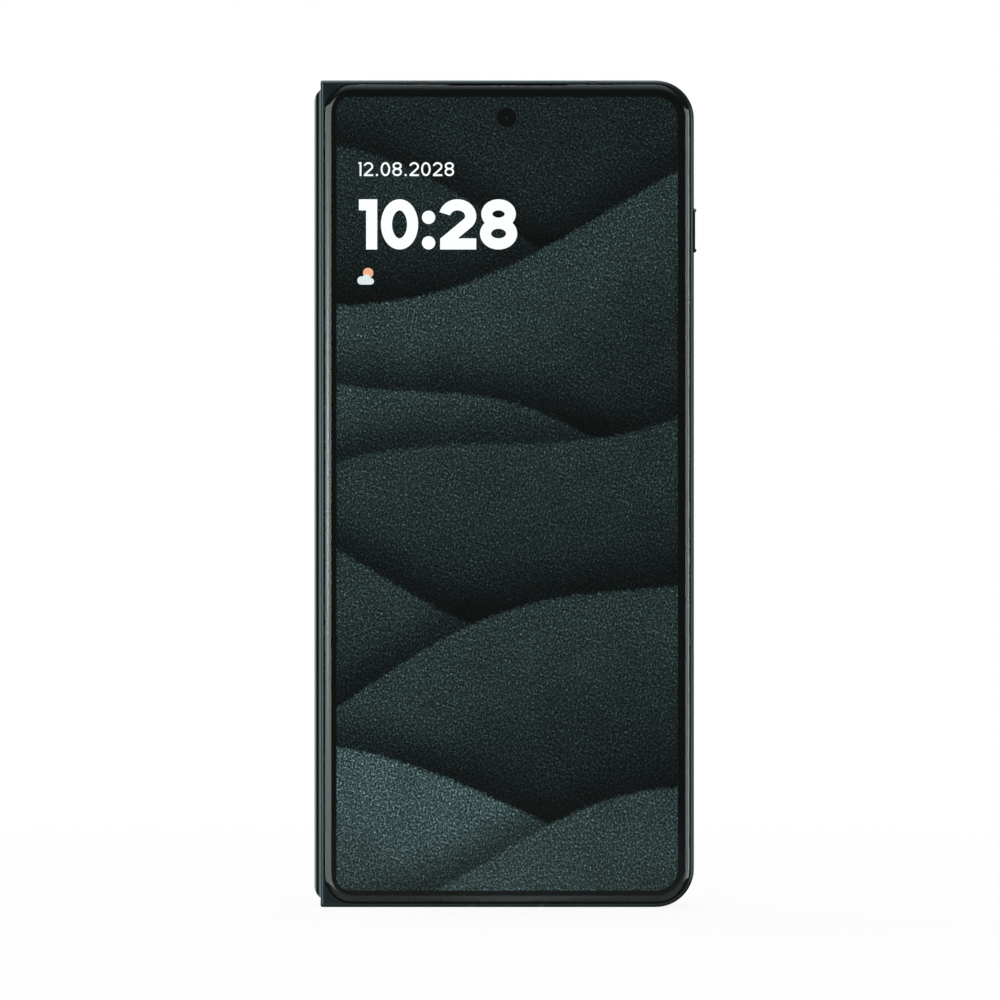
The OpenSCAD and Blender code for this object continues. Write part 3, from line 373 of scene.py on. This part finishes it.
def feltPicture(name, gloss):
    # Each dune's edge is base + slope a + height sin(2 pi (waves a + phase)) over the width a. The
    # dune covers what lies below its edge, is brightest there and casts a shadow on what is above
    material, tree = newMaterial(name)
    uv = addNode(tree, "UVMap", uv_map="picture")
    across = addNode(tree, "SeparateXYZ", {0: uv}, "X")
    height = addNode(tree, "SeparateXYZ", {0: uv}, "Y")
    ragged = addNode(tree, "TexNoise", {"Vector": uv, "Scale": felt["frayScale"], "Detail": 4.0,
        "Roughness": 0.75})
    up = addNode(tree, "Math", {0: ragged, 1: felt["fray"], 2: height}, operation="MULTIPLY_ADD")
    tone = felt["topTone"]
    for base, slope, swell, waves, phase, light in felt["dunes"]:
        turn = addNode(tree, "Math", {0: across, 1: 2 * math.pi * waves, 2: 2 * math.pi * phase},
            operation="MULTIPLY_ADD")
        wave = addNode(tree, "Math", {0: turn}, operation="SINE")
        line = addNode(tree, "Math", {0: across, 1: slope, 2: base}, operation="MULTIPLY_ADD")
        edge = addNode(tree, "Math", {0: wave, 1: swell, 2: line}, operation="MULTIPLY_ADD")
        below = addNode(tree, "Math", {0: edge, 1: up}, operation="SUBTRACT")
        inside = addNode(tree, "MapRange", {"Value": below, "From Max": felt["edgeSoft"]})
        own = addNode(tree, "MapRange", {"Value": below, "From Max": felt["fadeWidth"],
            "To Min": light, "To Max": light * felt["fadeTo"]}, interpolation_type="SMOOTHERSTEP")
        rim = addNode(tree, "MapRange", {"Value": below, "From Max": felt["rimWidth"],
            "To Min": 1 + felt["rimGain"], "To Max": 1.0})
        lit = addNode(tree, "Math", {0: own, 1: rim}, operation="MULTIPLY")
        shade = addNode(tree, "MapRange", {"Value": below, "From Min": -felt["shadowWidth"],
            "From Max": 0.0, "To Min": 1.0, "To Max": 1 - felt["shadowDepth"]},
            interpolation_type="SMOOTHSTEP")
        behind = addNode(tree, "Math", {0: shade, 1: tone}, operation="MULTIPLY")
        tone = addNode(tree, "Mix", {0: inside, 2: behind, 3: lit})
    # Pile: the tone times e^(contrast (noise - 1/2)), and slow patches where it lies another way
    combed = addNode(tree, "Mapping", {"Vector": uv, "Rotation": (0, 0, felt["combTurn"]),
        "Scale": (1, felt["combStretch"], 1)})
    fibres = addNode(tree, "TexNoise", {"Vector": combed, "Scale": 100 / felt["pileMm"],
        "Detail": 2.0, "Roughness": 0.85})
    power = addNode(tree, "MapRange", {"Value": fibres, "To Min": -felt["contrast"] / 2,
        "To Max": felt["contrast"] / 2})
    pile = addNode(tree, "Math", {0: power}, operation="EXPONENT")
    tone = addNode(tree, "Math", {0: tone, 1: pile}, operation="MULTIPLY")
    patches = addNode(tree, "TexNoise", {"Vector": uv, "Scale": felt["patchScale"],
        "Detail": 3.0})
    lie = addNode(tree, "MapRange", {"Value": patches, "To Min": felt["patchGain"][0],
        "To Max": felt["patchGain"][1]})
    tone = addNode(tree, "Math", {0: tone, 1: lie}, operation="MULTIPLY")
    falling = addNode(tree, "MapRange", {"Value": across, "From Min": -0.7, "From Max": 0.7,
        "To Min": felt["acrossGain"][0], "To Max": felt["acrossGain"][1]})
    tone = addNode(tree, "Math", {0: tone, 1: falling}, operation="MULTIPLY")
    colour = addNode(tree, "VectorMath", {0: felt["tint"], "Scale": tone}, operation="SCALE")
    shader = addNode(tree, "BsdfPrincipled", {"Base Color": colour, "Roughness": 0.4,
        "Specular IOR Level": gloss, "Emission Color": colour, "Emission Strength": 1.0})
    addNode(tree, "OutputMaterial", {"Surface": shader})
    return material


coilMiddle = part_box("charging_coil")[0].lerp(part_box("charging_coil")[1], 0.5)
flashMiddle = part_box("flash")[0].lerp(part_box("flash")[1], 0.5)
finishes = {
    "frameMetal": anodisedAluminium("darkGreenAnodisedAluminium", "#2f3a3c", "#323d40", 0.13, 0.62),
    "spineMetal": anodisedAluminium("polishedAnodisedAluminium", "#394446", "#3e494b", 0.12, 1.0),
    "islandMetal": anodisedAluminium("satinAnodisedAluminium", "#45575a", "#4c5f62", 0.38, 0.85),
    "ringMetal": anodisedAluminium("polishedLensRing", "#56686b", "#5f7376", 0.22, 1.0),
    "breakPlastic": mouldedPlastic("mouldedAntennaBreak", "#232928", "#2a3130", 0.45, 0.3, 0.25),
    "blackPlastic": mouldedPlastic("blackPolycarbonate", "#0a0b0c", "#0e0f10", 0.5),
    "dustMesh": mouldedPlastic("blackDustMesh", "#030404", "#070808", 0.7, 0.15, 0.0),
    "borderInk": mouldedPlastic("printedBlackInk", "#060707", "#080909", 0.5, 0.15, 0.0),
    "sealant": mouldedPlastic("blackSiliconeSeal", "#020303", "#040505", 0.6, 0.3, 0.0),
    "backPanel": pebbledSilicone("pebbledSiliconeBack", "#26393b", "#2d4245"),
    "coverGlass": toughenedGlass("toughenedCoverGlass", "#fbfdfd", 1.62, 0.01),
    "lensGlass": toughenedGlass("lensWindowGlass", "#dfe9ee", 1.5, 0.005),
    "steel": rolledSteel("stainlessSteelSheet", "#7d8284", "#9a9fa1", 0.32),
    "hingeSteel": rolledSteel("sinteredHingeSteel", "#2b2f31", "#363b3d", 0.4),
    "brass": rolledSteel("gearBrass", "#9c7838", "#b8934d", 0.35),
    "board": circuitBoard("greenCircuitBoard"),
    "batteryFilm": mouldedPlastic("batteryFilm", "#2c2f31", "#363a3c", 0.4, 2.0),
    "ribbon": mouldedPlastic("polyimideRibbon", "#6a4a1e", "#7e5c2a", 0.35, 0.8),
    "cardPlastic": mouldedPlastic("cardPlastic", "#b59a55", "#c9ae68", 0.4, 1.5),
    "flashLens": pressedAcrylic("pressedAcrylicFlash", flashMiddle),
    "copper": woundCopper("woundCopper", coilMiddle),
    "felt": feltPicture("feltDunesUnderGlass", 0.0),
    "flexFelt": feltPicture("feltDunesUnderFlexibleFilm", 0.5),
    "coatedLens": coatedLens("coatedLensGlass"),
    "sun": litPixels("sunPixels", "#f2b08c"), "cloud": litPixels("cloudPixels", "#e2e8ea"),
    "white": litPixels("whitePixels", "#ffffff"),
}
print("scene:", len(finishes), "finishes made")

nodeFinish = {
    "frameMetal": ["rear_frame", "cover_frame", "power_key", "volume_rocker", "card_tray"],
    "spineMetal": ["spine_cover"], "islandMetal": ["camera_island"], "ringMetal": ["camera_rings"],
    "breakPlastic": ["rear_frame_breaks", "cover_frame_breaks"],
    "blackPlastic": ["camera_modules", "bottom_speaker", "usb_tongue", "key_switches",
        "inner_camera", "inner_border_rear", "inner_border_cover", "cover_camera", "top_speaker",
        "hinge_end_caps"],
    "dustMesh": ["earpiece", "earpiece_mesh"],
    "felt": ["cover_screen"],
    "flexFelt": ["inner_display_rear", "inner_display_cover", "display_fold"],
    "borderInk": ["cover_glass_border"], "sealant": ["cover_glass_seal"],
    "backPanel": ["rear_cover"], "coverGlass": ["cover_glass"], "lensGlass": ["camera_lenses"],
    "flashLens": ["flash"],
    "steel": ["processor_shield", "board_screws", "usb_shell", "vibration_motor", "card_reader",
        "rear_magnets", "rear_display_sheet", "rear_hinge_pins", "cover_magnets",
        "cover_display_sheet", "cover_hinge_pins", "rear_wing_plate", "cover_wing_plate",
        "lift_plate"],
    "hingeSteel": ["rear_hinge_arms", "cover_hinge_arms", "hinge_blocks"],
    "brass": ["rear_idler_gears", "cover_idler_gears"],
    "board": ["main_board", "usb_board", "cover_board"],
    "batteryFilm": ["main_battery", "cover_battery"], "copper": ["charging_coil"],
    "ribbon": ["bottom_flex", "hinge_flex"], "cardPlastic": ["sim_card"]}
for finish, names in nodeFinish.items():
    for nodeName in names:
        nodes[nodeName].data.materials.clear()
        nodes[nodeName].data.materials.append(finishes[finish])
print("scene: CAD nodes dressed")


# ---- screens
def roundedOutline(widthRange, heightRange, radii, inset=0.0, steps=20):
    # Points round a rectangle drawn in by inset, whose corners have one radius on the fold side
    # and another on the free side: each is centre + (radius - inset)(cos, sin) over a quarter turn
    (left, right), (low, high), (fold, free) = widthRange, heightRange, radii
    corners = np.array([(right - free, low + free, free, -90), (right - free, high - free, free, 0),
        (left + fold, high - fold, fold, 90), (left + fold, low + fold, fold, 180)], float)
    angle = np.radians(corners[:, 3:] + np.linspace(0, 90, steps))
    reach = corners[:, 2:3] - inset
    return np.stack([corners[:, :1] + reach * np.cos(angle),
        corners[:, 1:2] + reach * np.sin(angle)], -1).reshape(-1, 2)


def seenEvenly(outline, centre, step=6.0):
    # Adds points to the long sides so that neighbours are at most a step of degrees apart as seen
    # from the centre c: towards direction w, side a to b is met at t = (c - a) x w / (b - a) x w
    points = []
    for a, b in zip(outline, np.roll(outline, -1, 0)):
        first, last = [math.atan2(y, x) for x, y in (a - centre, b - centre)]
        turn = (last - first + math.pi) % (2 * math.pi) - math.pi
        parts = int(abs(math.degrees(turn)) / step) + 1
        points.append(a)
        for angle in first + turn * np.linspace(0, 1, parts + 1)[1:-1]:
            towards = np.array([-math.sin(angle), math.cos(angle)])
            points.append(a + (b - a) * np.dot(centre - a, towards) / np.dot(b - a, towards))
    return np.array(points)


def screenPanel(name, side, outline, hole, depths, shift, turn):
    # A flat panel from rings of points: with a hole, the rings run from its edge to the outline and
    # back behind; without one, flat ends close the two rings. The picture's map is u and v
    front, back = depths
    if not hole:
        rings, ringDepths = [outline, outline], [front, back]
    else:
        outline = seenEvenly(outline, np.array(hole["centre"]))
        away = outline - hole["centre"]
        edge = hole["centre"] + hole["radius"] * away / np.linalg.norm(away, axis=1, keepdims=True)
        rings, ringDepths = [edge, outline, outline, edge], [front, front, back, back]
    flat = np.stack(rings)
    if side == "cover":
        flat = flat[:, ::-1]
    toPoint = coverPoint if side == "cover" else rearPoint
    points = toPoint(flat[..., 0], np.array(ringDepths)[:, None], flat[..., 1])
    uv = np.stack([shift + turn * flat[..., 0], flat[..., 1]], -1) / 100
    return gridMesh(name, points, closedAcross=True, closedAlong=bool(hole), uv=uv,
        capEnds=not hole)


coverPanel = {"margin": 3.13, "endMargin": 3.23, "radii": (2.6, 4.28), "front": 4.36, "back": 4.05,
    "hole": {"centre": (36.05, 152.8), "radius": 1.95}}
outline = roundedOutline((coverPanel["margin"], place["width"] - coverPanel["margin"]),
    (coverPanel["endMargin"], place["length"] - coverPanel["endMargin"]), coverPanel["radii"])
addPiece(screenPanel("coverPicture", "cover", outline, coverPanel["hole"],
    (coverPanel["front"], coverPanel["back"]), 0.0, 1.0),
    "cover_half", finishes["felt"], "screen_panel", "cover_screen")

# The inner display: two flat halves, a strip on each wing plate, and the bend between them, drawn
# in its shut shape, though the real one flattens as the phone opens
innerPanel = {"foldEdge": 9.52, "freeEdge": 69.0, "end": 3.9, "corner": 1.9, "front": 0.45,
    "back": 0.85, "hole": {"centre": (23.0, 151.05), "radius": 1.6}, "halfThickness": 0.2,
    "wingTilt": 7.0, "stripStart": (9.45, 0.66), "stripLength": 8.05, "endPlay": 0.04,
    "bendCentre": 2.381, "bendRadius": 1.513, "bendSteps": 49, "openFace": 2.19,
    # u of the shut phone plus this is the place on the opened picture; keep is what the bend's
    # depth shrinks to
    "picturePast": 0.05, "keep": 0.03}
outline = roundedOutline((innerPanel["foldEdge"], innerPanel["freeEdge"]),
    (innerPanel["end"], place["length"] - innerPanel["end"]), (0.02, innerPanel["corner"]))
for side, turn in (("rear", 1.0), ("cover", -1.0)):
    addPiece(screenPanel(side + "InnerPicture", side, outline,
        innerPanel["hole"] if side == "rear" else None, (innerPanel["front"], innerPanel["back"]),
        innerPanel["picturePast"] * turn, turn), side + "_half", finishes["flexFelt"],
        "flex_display", "inner_display_" + side)


def uprightStrip(name, side, section, across, body):
    # A cross-section of (u, d) points drawn straight up the phone; across is each point's place on
    # the opened picture
    low = innerPanel["end"] + innerPanel["endPlay"]
    heights = np.array([low, place["length"] - low])[:, None]
    section, across = np.array(section)[::-1], np.array(across)[::-1]
    toPoint = rearPoint
    if side == "cover":
        section, across, toPoint = section[::-1], across[::-1], coverPoint
    points = toPoint(section[:, 0], section[:, 1], heights + 0 * section[:, 0])
    uv = np.stack(np.broadcast_arrays(across / 100, heights / 100), -1)
    piece = gridMesh(name, points, closedAcross=True, uv=uv, capEnds=True)
    return addPiece(piece, body, finishes["flexFelt"], "flex_display", "display_fold")


tilt = math.radians(innerPanel["wingTilt"])
lean = np.array([-math.cos(tilt), math.sin(tilt)])
outwards = np.array([math.sin(tilt), math.cos(tilt)]) * innerPanel["halfThickness"]
for side, turn in (("rear", 1), ("cover", -1)):
    start = np.array(innerPanel["stripStart"])
    end = start + lean * innerPanel["stripLength"]
    near = (innerPanel["stripStart"][0] + innerPanel["picturePast"]) * turn
    far = near - innerPanel["stripLength"] * turn
    uprightStrip(side + "DisplayStrip", side, [start - outwards, end - outwards,
        end + outwards, start + outwards], [near, far, far, near], side + "_wing")

# The bend: u = centre + radius cos(angle), d = radius sin(angle), from one tangent to the other
bend = np.radians(np.linspace(90 - innerPanel["wingTilt"], 270 + innerPanel["wingTilt"],
    innerPanel["bendSteps"]))
arc = np.stack([np.cos(bend), np.sin(bend)], -1)
middle = np.array([innerPanel["bendCentre"], 0])
inner, outer = [innerPanel["bendRadius"] + way * innerPanel["halfThickness"] for way in (-1, 1)]
section = np.concatenate([middle + inner * arc, (middle + outer * arc)[::-1]])
bendPiece = uprightStrip("displayBend", "rear", section,
    np.concatenate([arc[:, 1], arc[::-1, 1]]) * innerPanel["bendRadius"], "spine")
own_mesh(smooth(bendPiece, 40))
print("scene: screens made")

# ---- cover glass: flat in the middle, with its edge curved down all round
glass = {"margin": 0.92, "endMargin": 0.87, "radii": (5.43, 6.48), "face": 4.95, "back": 4.42,
    "curve": 1.5, "curveSteps": 24, "cornerSteps": 24, "edgeHeight": 0.066, "backInset": 3.0,
    # the ear slit along the top edge, and how far its ends lean over
    "slitHalf": 11.5, "slitMiddle": 36.15, "slitDepth": 0.2, "slitLean": 0.01}
# The edge falls as an arc R with R = (curve^2 + drop^2) / (2 drop): at each slope, inset =
# curve - R sin(slope) and depth = face - R (1 - cos(slope)); then it goes down the side to the back
drop = glass["face"] - glass["back"] - glass["edgeHeight"]
curveRadius = (glass["curve"] ** 2 + drop ** 2) / (2 * drop)
slope = np.linspace(0, math.asin(glass["curve"] / curveRadius), glass["curveSteps"])
insets = np.concatenate([glass["curve"] - curveRadius * np.sin(slope), [0.0, glass["backInset"]]])
depths = np.concatenate([glass["face"] - curveRadius * (1 - np.cos(slope)), [glass["back"]] * 2])
slitEnds = glass["slitMiddle"] + np.array([1, 1, -1, -1]) * glass["slitHalf"] \
    + np.array([1, -1, 1, -1]) * glass["slitLean"]
slitFloor = place["length"] - glass["endMargin"] - glass["slitDepth"]
freeSide = 2 * glass["cornerSteps"]
rings = []
for inset in insets:
    ring = roundedOutline((glass["margin"], place["width"] - glass["margin"]),
        (glass["endMargin"], place["length"] - glass["endMargin"]), glass["radii"], inset,
        glass["cornerSteps"])
    slit = np.stack([slitEnds, np.full(4, ring[:, 1].max())], -1)
    ring = np.concatenate([ring[:freeSide], slit, ring[freeSide:]])
    notched = np.abs(ring[:, 0] - glass["slitMiddle"]) < glass["slitHalf"]
    ring[:, 1] = np.where(notched, np.minimum(ring[:, 1], slitFloor), ring[:, 1])
    rings.append(ring[::-1])
rings = np.stack(rings)
pane = gridMesh("coverGlassPane", coverPoint(rings[..., 0], depths[:, None], rings[..., 1]),
    closedAcross=True, capEnds=True)
addPiece(smooth(pane, 28, 2), "cover_half", finishes["coverGlass"], "cover_glass", "cover_glass")
print("scene: cover glass made")


# ---- cameras: stepped black barrels with a coated front lens in each
def lensProfile(lens):
    # A cap of a ball R over a flat back: radius = R sin(a), depth = base + R (cos(a) - cos(slope))
    slope = math.radians(lens["slope"])
    ball = lens["radius"] / math.sin(slope)
    a = np.linspace(0, slope, lens["steps"])
    cap = np.stack([ball * np.sin(a), lens["base"] + ball * (np.cos(a) - math.cos(slope))], -1)
    return np.concatenate([cap, [(lens["radius"], lens["back"]), (0.0, lens["back"])]])


cameras = {"places": [(40.8, 145.75), (58.0, 145.75), (40.8, 128.55)],
    "barrel": [(0.0, 5.5), (2.3, 5.5), (2.3, 5.8), (2.8, 5.9), (2.9, 6.3), (3.3, 6.4), (3.4, 6.7),
        (4.0, 6.8), (4.0, 7.1), (4.3, 7.34), (4.88, 7.34), (4.88, 4.2), (5.4, 4.2), (5.4, 1.9),
        (0.0, 1.9)],
    "lens": {"radius": 2.3, "slope": 50, "base": 5.5, "back": 5.45, "steps": 14}}
for number, spot in enumerate(cameras["places"], 1):
    barrel = latheMesh("lensBarrel" + str(number), cameras["barrel"], spot, 1)
    addPiece(smooth(barrel, 30), "rear_half", finishes["blackPlastic"], "black_plastic",
        "camera_modules")
    lens = latheMesh("frontLens" + str(number), lensProfile(cameras["lens"]), spot, 1)
    addPiece(smooth(lens, 30), "rear_half", finishes["coatedLens"], "lens_glass")

# The cover camera: a flat ring and a small lens that show through the hole in the picture
selfie = {"place": (36.05, 152.8), "ring": [(0.0, 4.355), (1.9, 4.355), (1.9, 4.3), (0.0, 4.3)],
    "lens": {"radius": 0.27, "slope": 25.46, "base": 4.353, "back": 4.35, "steps": 9}}
ring = latheMesh("coverCameraRing", selfie["ring"], selfie["place"], -1)
addPiece(smooth(ring, 30), "cover_half", finishes["borderInk"], "black_plastic")
lens = latheMesh("coverCameraLens", lensProfile(selfie["lens"]), selfie["place"], -1)
addPiece(smooth(lens, 30), "cover_half", finishes["coatedLens"], "lens_glass")
print("scene: cameras made")


# ---- digits on the cover screen: strokes of one width carried along plain paths
def strokeMesh(name, strokes, origin, front):
    # A stroke is a path of points and a width; its two edges lie half a width to either side along
    # the path's normal, and each stroke lies a hair in front of the last
    hair = 0.0004
    points, faces, count = [], [], 0
    for number, (path, width) in enumerate(strokes):
        path = np.array(path, float)
        if np.allclose(path[0], path[-1]):
            along = np.roll(path[:-1], -1, 0) - np.roll(path[:-1], 1, 0)
            along = np.concatenate([along, along[:1]])
        else:
            along = np.gradient(path, axis=0)
        along /= np.linalg.norm(along, axis=1, keepdims=True)
        normal = np.stack([-along[:, 1], along[:, 0]], -1) * width / 2
        edges = np.concatenate([path + normal, path - normal]) + origin
        points.append(coverPoint(edges[:, 0], front + hair * number, edges[:, 1]))
        i = np.arange(len(path) - 1) + count
        faces += np.stack([i, i + 1, i + 1 + len(path), i + len(path)], -1).tolist()
        count += 2 * len(path)
    return makePiece(name, np.concatenate(points), faces)


def arcPath(centre, radii, start, end, steps=40):
    # x = cx + rx cos(angle), y = cy + ry sin(angle), in degrees
    angle = np.radians(np.linspace(start, end, steps))
    return centre + np.stack([radii[0] * np.cos(angle), radii[1] * np.sin(angle)], -1)


def disc(x, y, radius):
    return arcPath((x, y), (radius / 2, radius / 2), 0, 360, 49), radius


def digitStrokes(digit, w, h, t):
    # Centre lines inside a box w by h for strokes t wide
    x = w / 2
    if digit == "0":
        return [(arcPath((x, h / 2), (x - t / 2, (h - t) / 2), 0, 360, 73), t)]
    if digit == "1":
        stem = w - t / 2
        return [([(stem, 0), (stem, h)], t), ([(stem - t * 1.15, h - t / 2), (stem, h - t / 2)], t)]
    if digit == "2":
        bowl = (h - t) * 0.29
        curve = arcPath((x, h - t / 2 - bowl), (x - t / 2, bowl), 168, -32, 40)
        return [(np.concatenate([curve, [(t * 0.46, t * 0.615)]]), t),
            ([(t * 0.1, t / 2), (w, t / 2)], t)]
    if digit == "8":
        upper, lower = (h - t) * 0.235, (h - t) * 0.265
        return [(arcPath((x, h - t / 2 - upper), (x - t * 0.62, upper), 0, 360, 61), t),
            (arcPath((x, t / 2 + lower), (x - t / 2, lower), 0, 360, 61), t)]
    radius = t * 0.6
    return [disc(x, y, radius) for y in ([radius, h * 0.64] if digit == ":" else [radius])]


clock = {"text": "10:28", "u": 7.1, "v": 127.3, "height": 9.72, "stroke": 2.15, "gap": 0.72,
    "widths": {"1": 3.9, ":": 2.6, "other": 7.2}, "proud": 0.02}
date = {"text": "12.08.2028", "u": 7.15, "v": 141.5, "height": 2.7, "stroke": 0.36, "gap": 0.42,
    "widths": {"1": 0.8, ".": 0.6, "other": 1.85}, "proud": 0.02}
for name, words in (("clockDigits", clock), ("dateDigits", date)):
    left, strokes = 0.0, []
    for character in words["text"]:
        width = words["widths"].get(character, words["widths"]["other"])
        strokes += [(np.array(path) + (left, 0), t) for path, t in
            digitStrokes(character, width, words["height"], words["stroke"])]
        left += width + words["gap"]
    digits = strokeMesh(name, strokes, (words["u"], words["v"]),
        coverPanel["front"] + words["proud"])
    addPiece(digits, "cover_half", finishes["white"], "screen_panel")

# Weather sign: a sun disc behind a cloud of three round puffs on a flat base
sign = {"sun": (9.25, 122.75, 1.0), "puffs": [(7.95, 121.3, 0.8), (8.9, 121.65, 0.85),
    (9.75, 121.15, 0.62)], "base": ([(7.95, 120.81), (9.75, 120.81)], 0.62), "sunProud": 0.015,
    "cloudProud": 0.03}
sun = strokeMesh("weatherSun", [disc(*sign["sun"])], (0, 0), coverPanel["front"] + sign["sunProud"])
addPiece(sun, "cover_half", finishes["sun"], "screen_panel")
cloud = strokeMesh("weatherCloud", [disc(*puff) for puff in sign["puffs"]] + [sign["base"]],
    (0, 0), coverPanel["front"] + sign["cloudProud"])
addPiece(cloud, "cover_half", finishes["cloud"], "screen_panel")
print("scene: digits and weather sign made")

# ---- studio: a dim room with soft panels, seen only in reflections; the backdrop is white
studio = {
    "ambient": 0.09,
    # azimuth from the camera's side towards +X and elevation, their softness and the brightness;
    # the negative one is a black flag, which takes the room's light from the far side
    "panels": [
        {"azimuth": (-77, -15), "elevation": (-17, 17), "soft": (5, 3), "light": 2.4},
        {"azimuth": (-53, -37), "elevation": (-1.9, 2.9), "soft": (13, 4.2), "light": 6.0},
        {"azimuth": (35, 74), "elevation": (-17, 17), "soft": (7, 3), "light": 2.1},
        {"azimuth": (58, 76), "elevation": (-17, 17), "soft": (6, 3), "light": 2.3},
        {"azimuth": (-140, -114), "elevation": (-80, 70), "soft": (5, 6), "light": 2.2},
        {"azimuth": (-172, -140), "elevation": (-80, 70), "soft": (8, 6), "light": 0.8},
        {"azimuth": (-190, 190), "elevation": (73, 110), "soft": (5, 12), "light": 4.6},
        {"azimuth": (-38, 38), "elevation": (46, 125), "soft": (10, 56), "light": 1.2},
        {"azimuth": (-45, 45), "elevation": (-58, -8), "soft": (10, 10), "light": 0.36},
        {"azimuth": (120, 172), "elevation": (26, 64), "soft": (10, 12), "light": 0.9},
        {"azimuth": (98, 190), "elevation": (-20, 16), "soft": (8, 6), "light": -0.085},
        {"azimuth": (-0.7, 1.2), "elevation": (-58, -8), "soft": (1.6, 10), "light": 0.36}]}
world = bpy.data.worlds.new("studio")
bpy.context.scene.world = world
world.use_nodes = True
sky = world.node_tree
sky.nodes.clear()
heading = addNode(sky, "TexCoord", output="Generated")
along = {axis: addNode(sky, "SeparateXYZ", {0: heading}, axis) for axis in "XYZ"}
towards = addNode(sky, "Math", {0: along["Y"], 1: -1.0}, operation="MULTIPLY")
azimuth = addNode(sky, "Math", {0: along["X"], 1: towards}, operation="ARCTAN2")
elevation = addNode(sky, "Math", {0: along["Z"]}, operation="ARCSINE")
angles = [addNode(sky, "Math", {0: angle}, operation="DEGREES") for angle in (azimuth, elevation)]
brightness = studio["ambient"]
for panel in studio["panels"]:
    lit = 1.0
    sides = (panel["azimuth"], panel["elevation"])
    for angle, (low, high), soft in zip(angles, sides, panel["soft"]):
        for start, end in ((low - soft / 2, low + soft / 2), (high + soft / 2, high - soft / 2)):
            step = addNode(sky, "MapRange", {"Value": angle, "From Min": start, "From Max": end},
                interpolation_type="SMOOTHSTEP")
            lit = addNode(sky, "Math", {0: step, 1: lit}, operation="MULTIPLY")
    brightness = addNode(sky, "Math", {0: lit, 1: panel["light"], 2: brightness},
        operation="MULTIPLY_ADD")
seen = addNode(sky, "LightPath", output="Is Camera Ray")
room = addNode(sky, "Background", {"Color": (1, 1, 1, 1), "Strength": brightness})
backdrop = addNode(sky, "Background", {"Color": (1, 1, 1, 1), "Strength": 1.0})
addNode(sky, "OutputWorld", {0: addNode(sky, "MixShader", {0: seen, 1: room, 2: backdrop})})

# ---- floor: pale paper whose rim fades into the white backdrop
paper = {"solid": 0.03, "end": 0.4, "cover": 0.1, "colour": "#f7f8f8", "turns": 96, "rings": 24,
    "height": -0.00002}
angle = np.linspace(0, 2 * math.pi, paper["turns"], endpoint=False)
reach = np.linspace(0, paper["end"], paper["rings"])[:, None]
floor = mergeDoubles(gridMesh("floor", np.stack([reach * np.cos(angle), reach * np.sin(angle),
    paper["height"] + 0 * reach * angle], -1), closedAcross=True))
paperMaterial, tree = newMaterial("paleSeamlessPaper")
spot = addNode(tree, "TexCoord", output="Object")
away = addNode(tree, "VectorMath", {0: spot}, 1, operation="LENGTH")
gone = addNode(tree, "MapRange", {"Value": away, "From Min": paper["solid"],
    "From Max": paper["end"], "To Min": 1 - paper["cover"]}, interpolation_type="SMOOTHSTEP")
matt = addNode(tree, "BsdfDiffuse", {"Color": linearColour(paper["colour"])})
clear = addNode(tree, "BsdfTransparent")
faded = addNode(tree, "MixShader", {0: gone, 1: matt, 2: clear})
addNode(tree, "OutputMaterial", {"Surface": faded})
floor.data.materials.append(paperMaterial)
print("scene: studio ready")
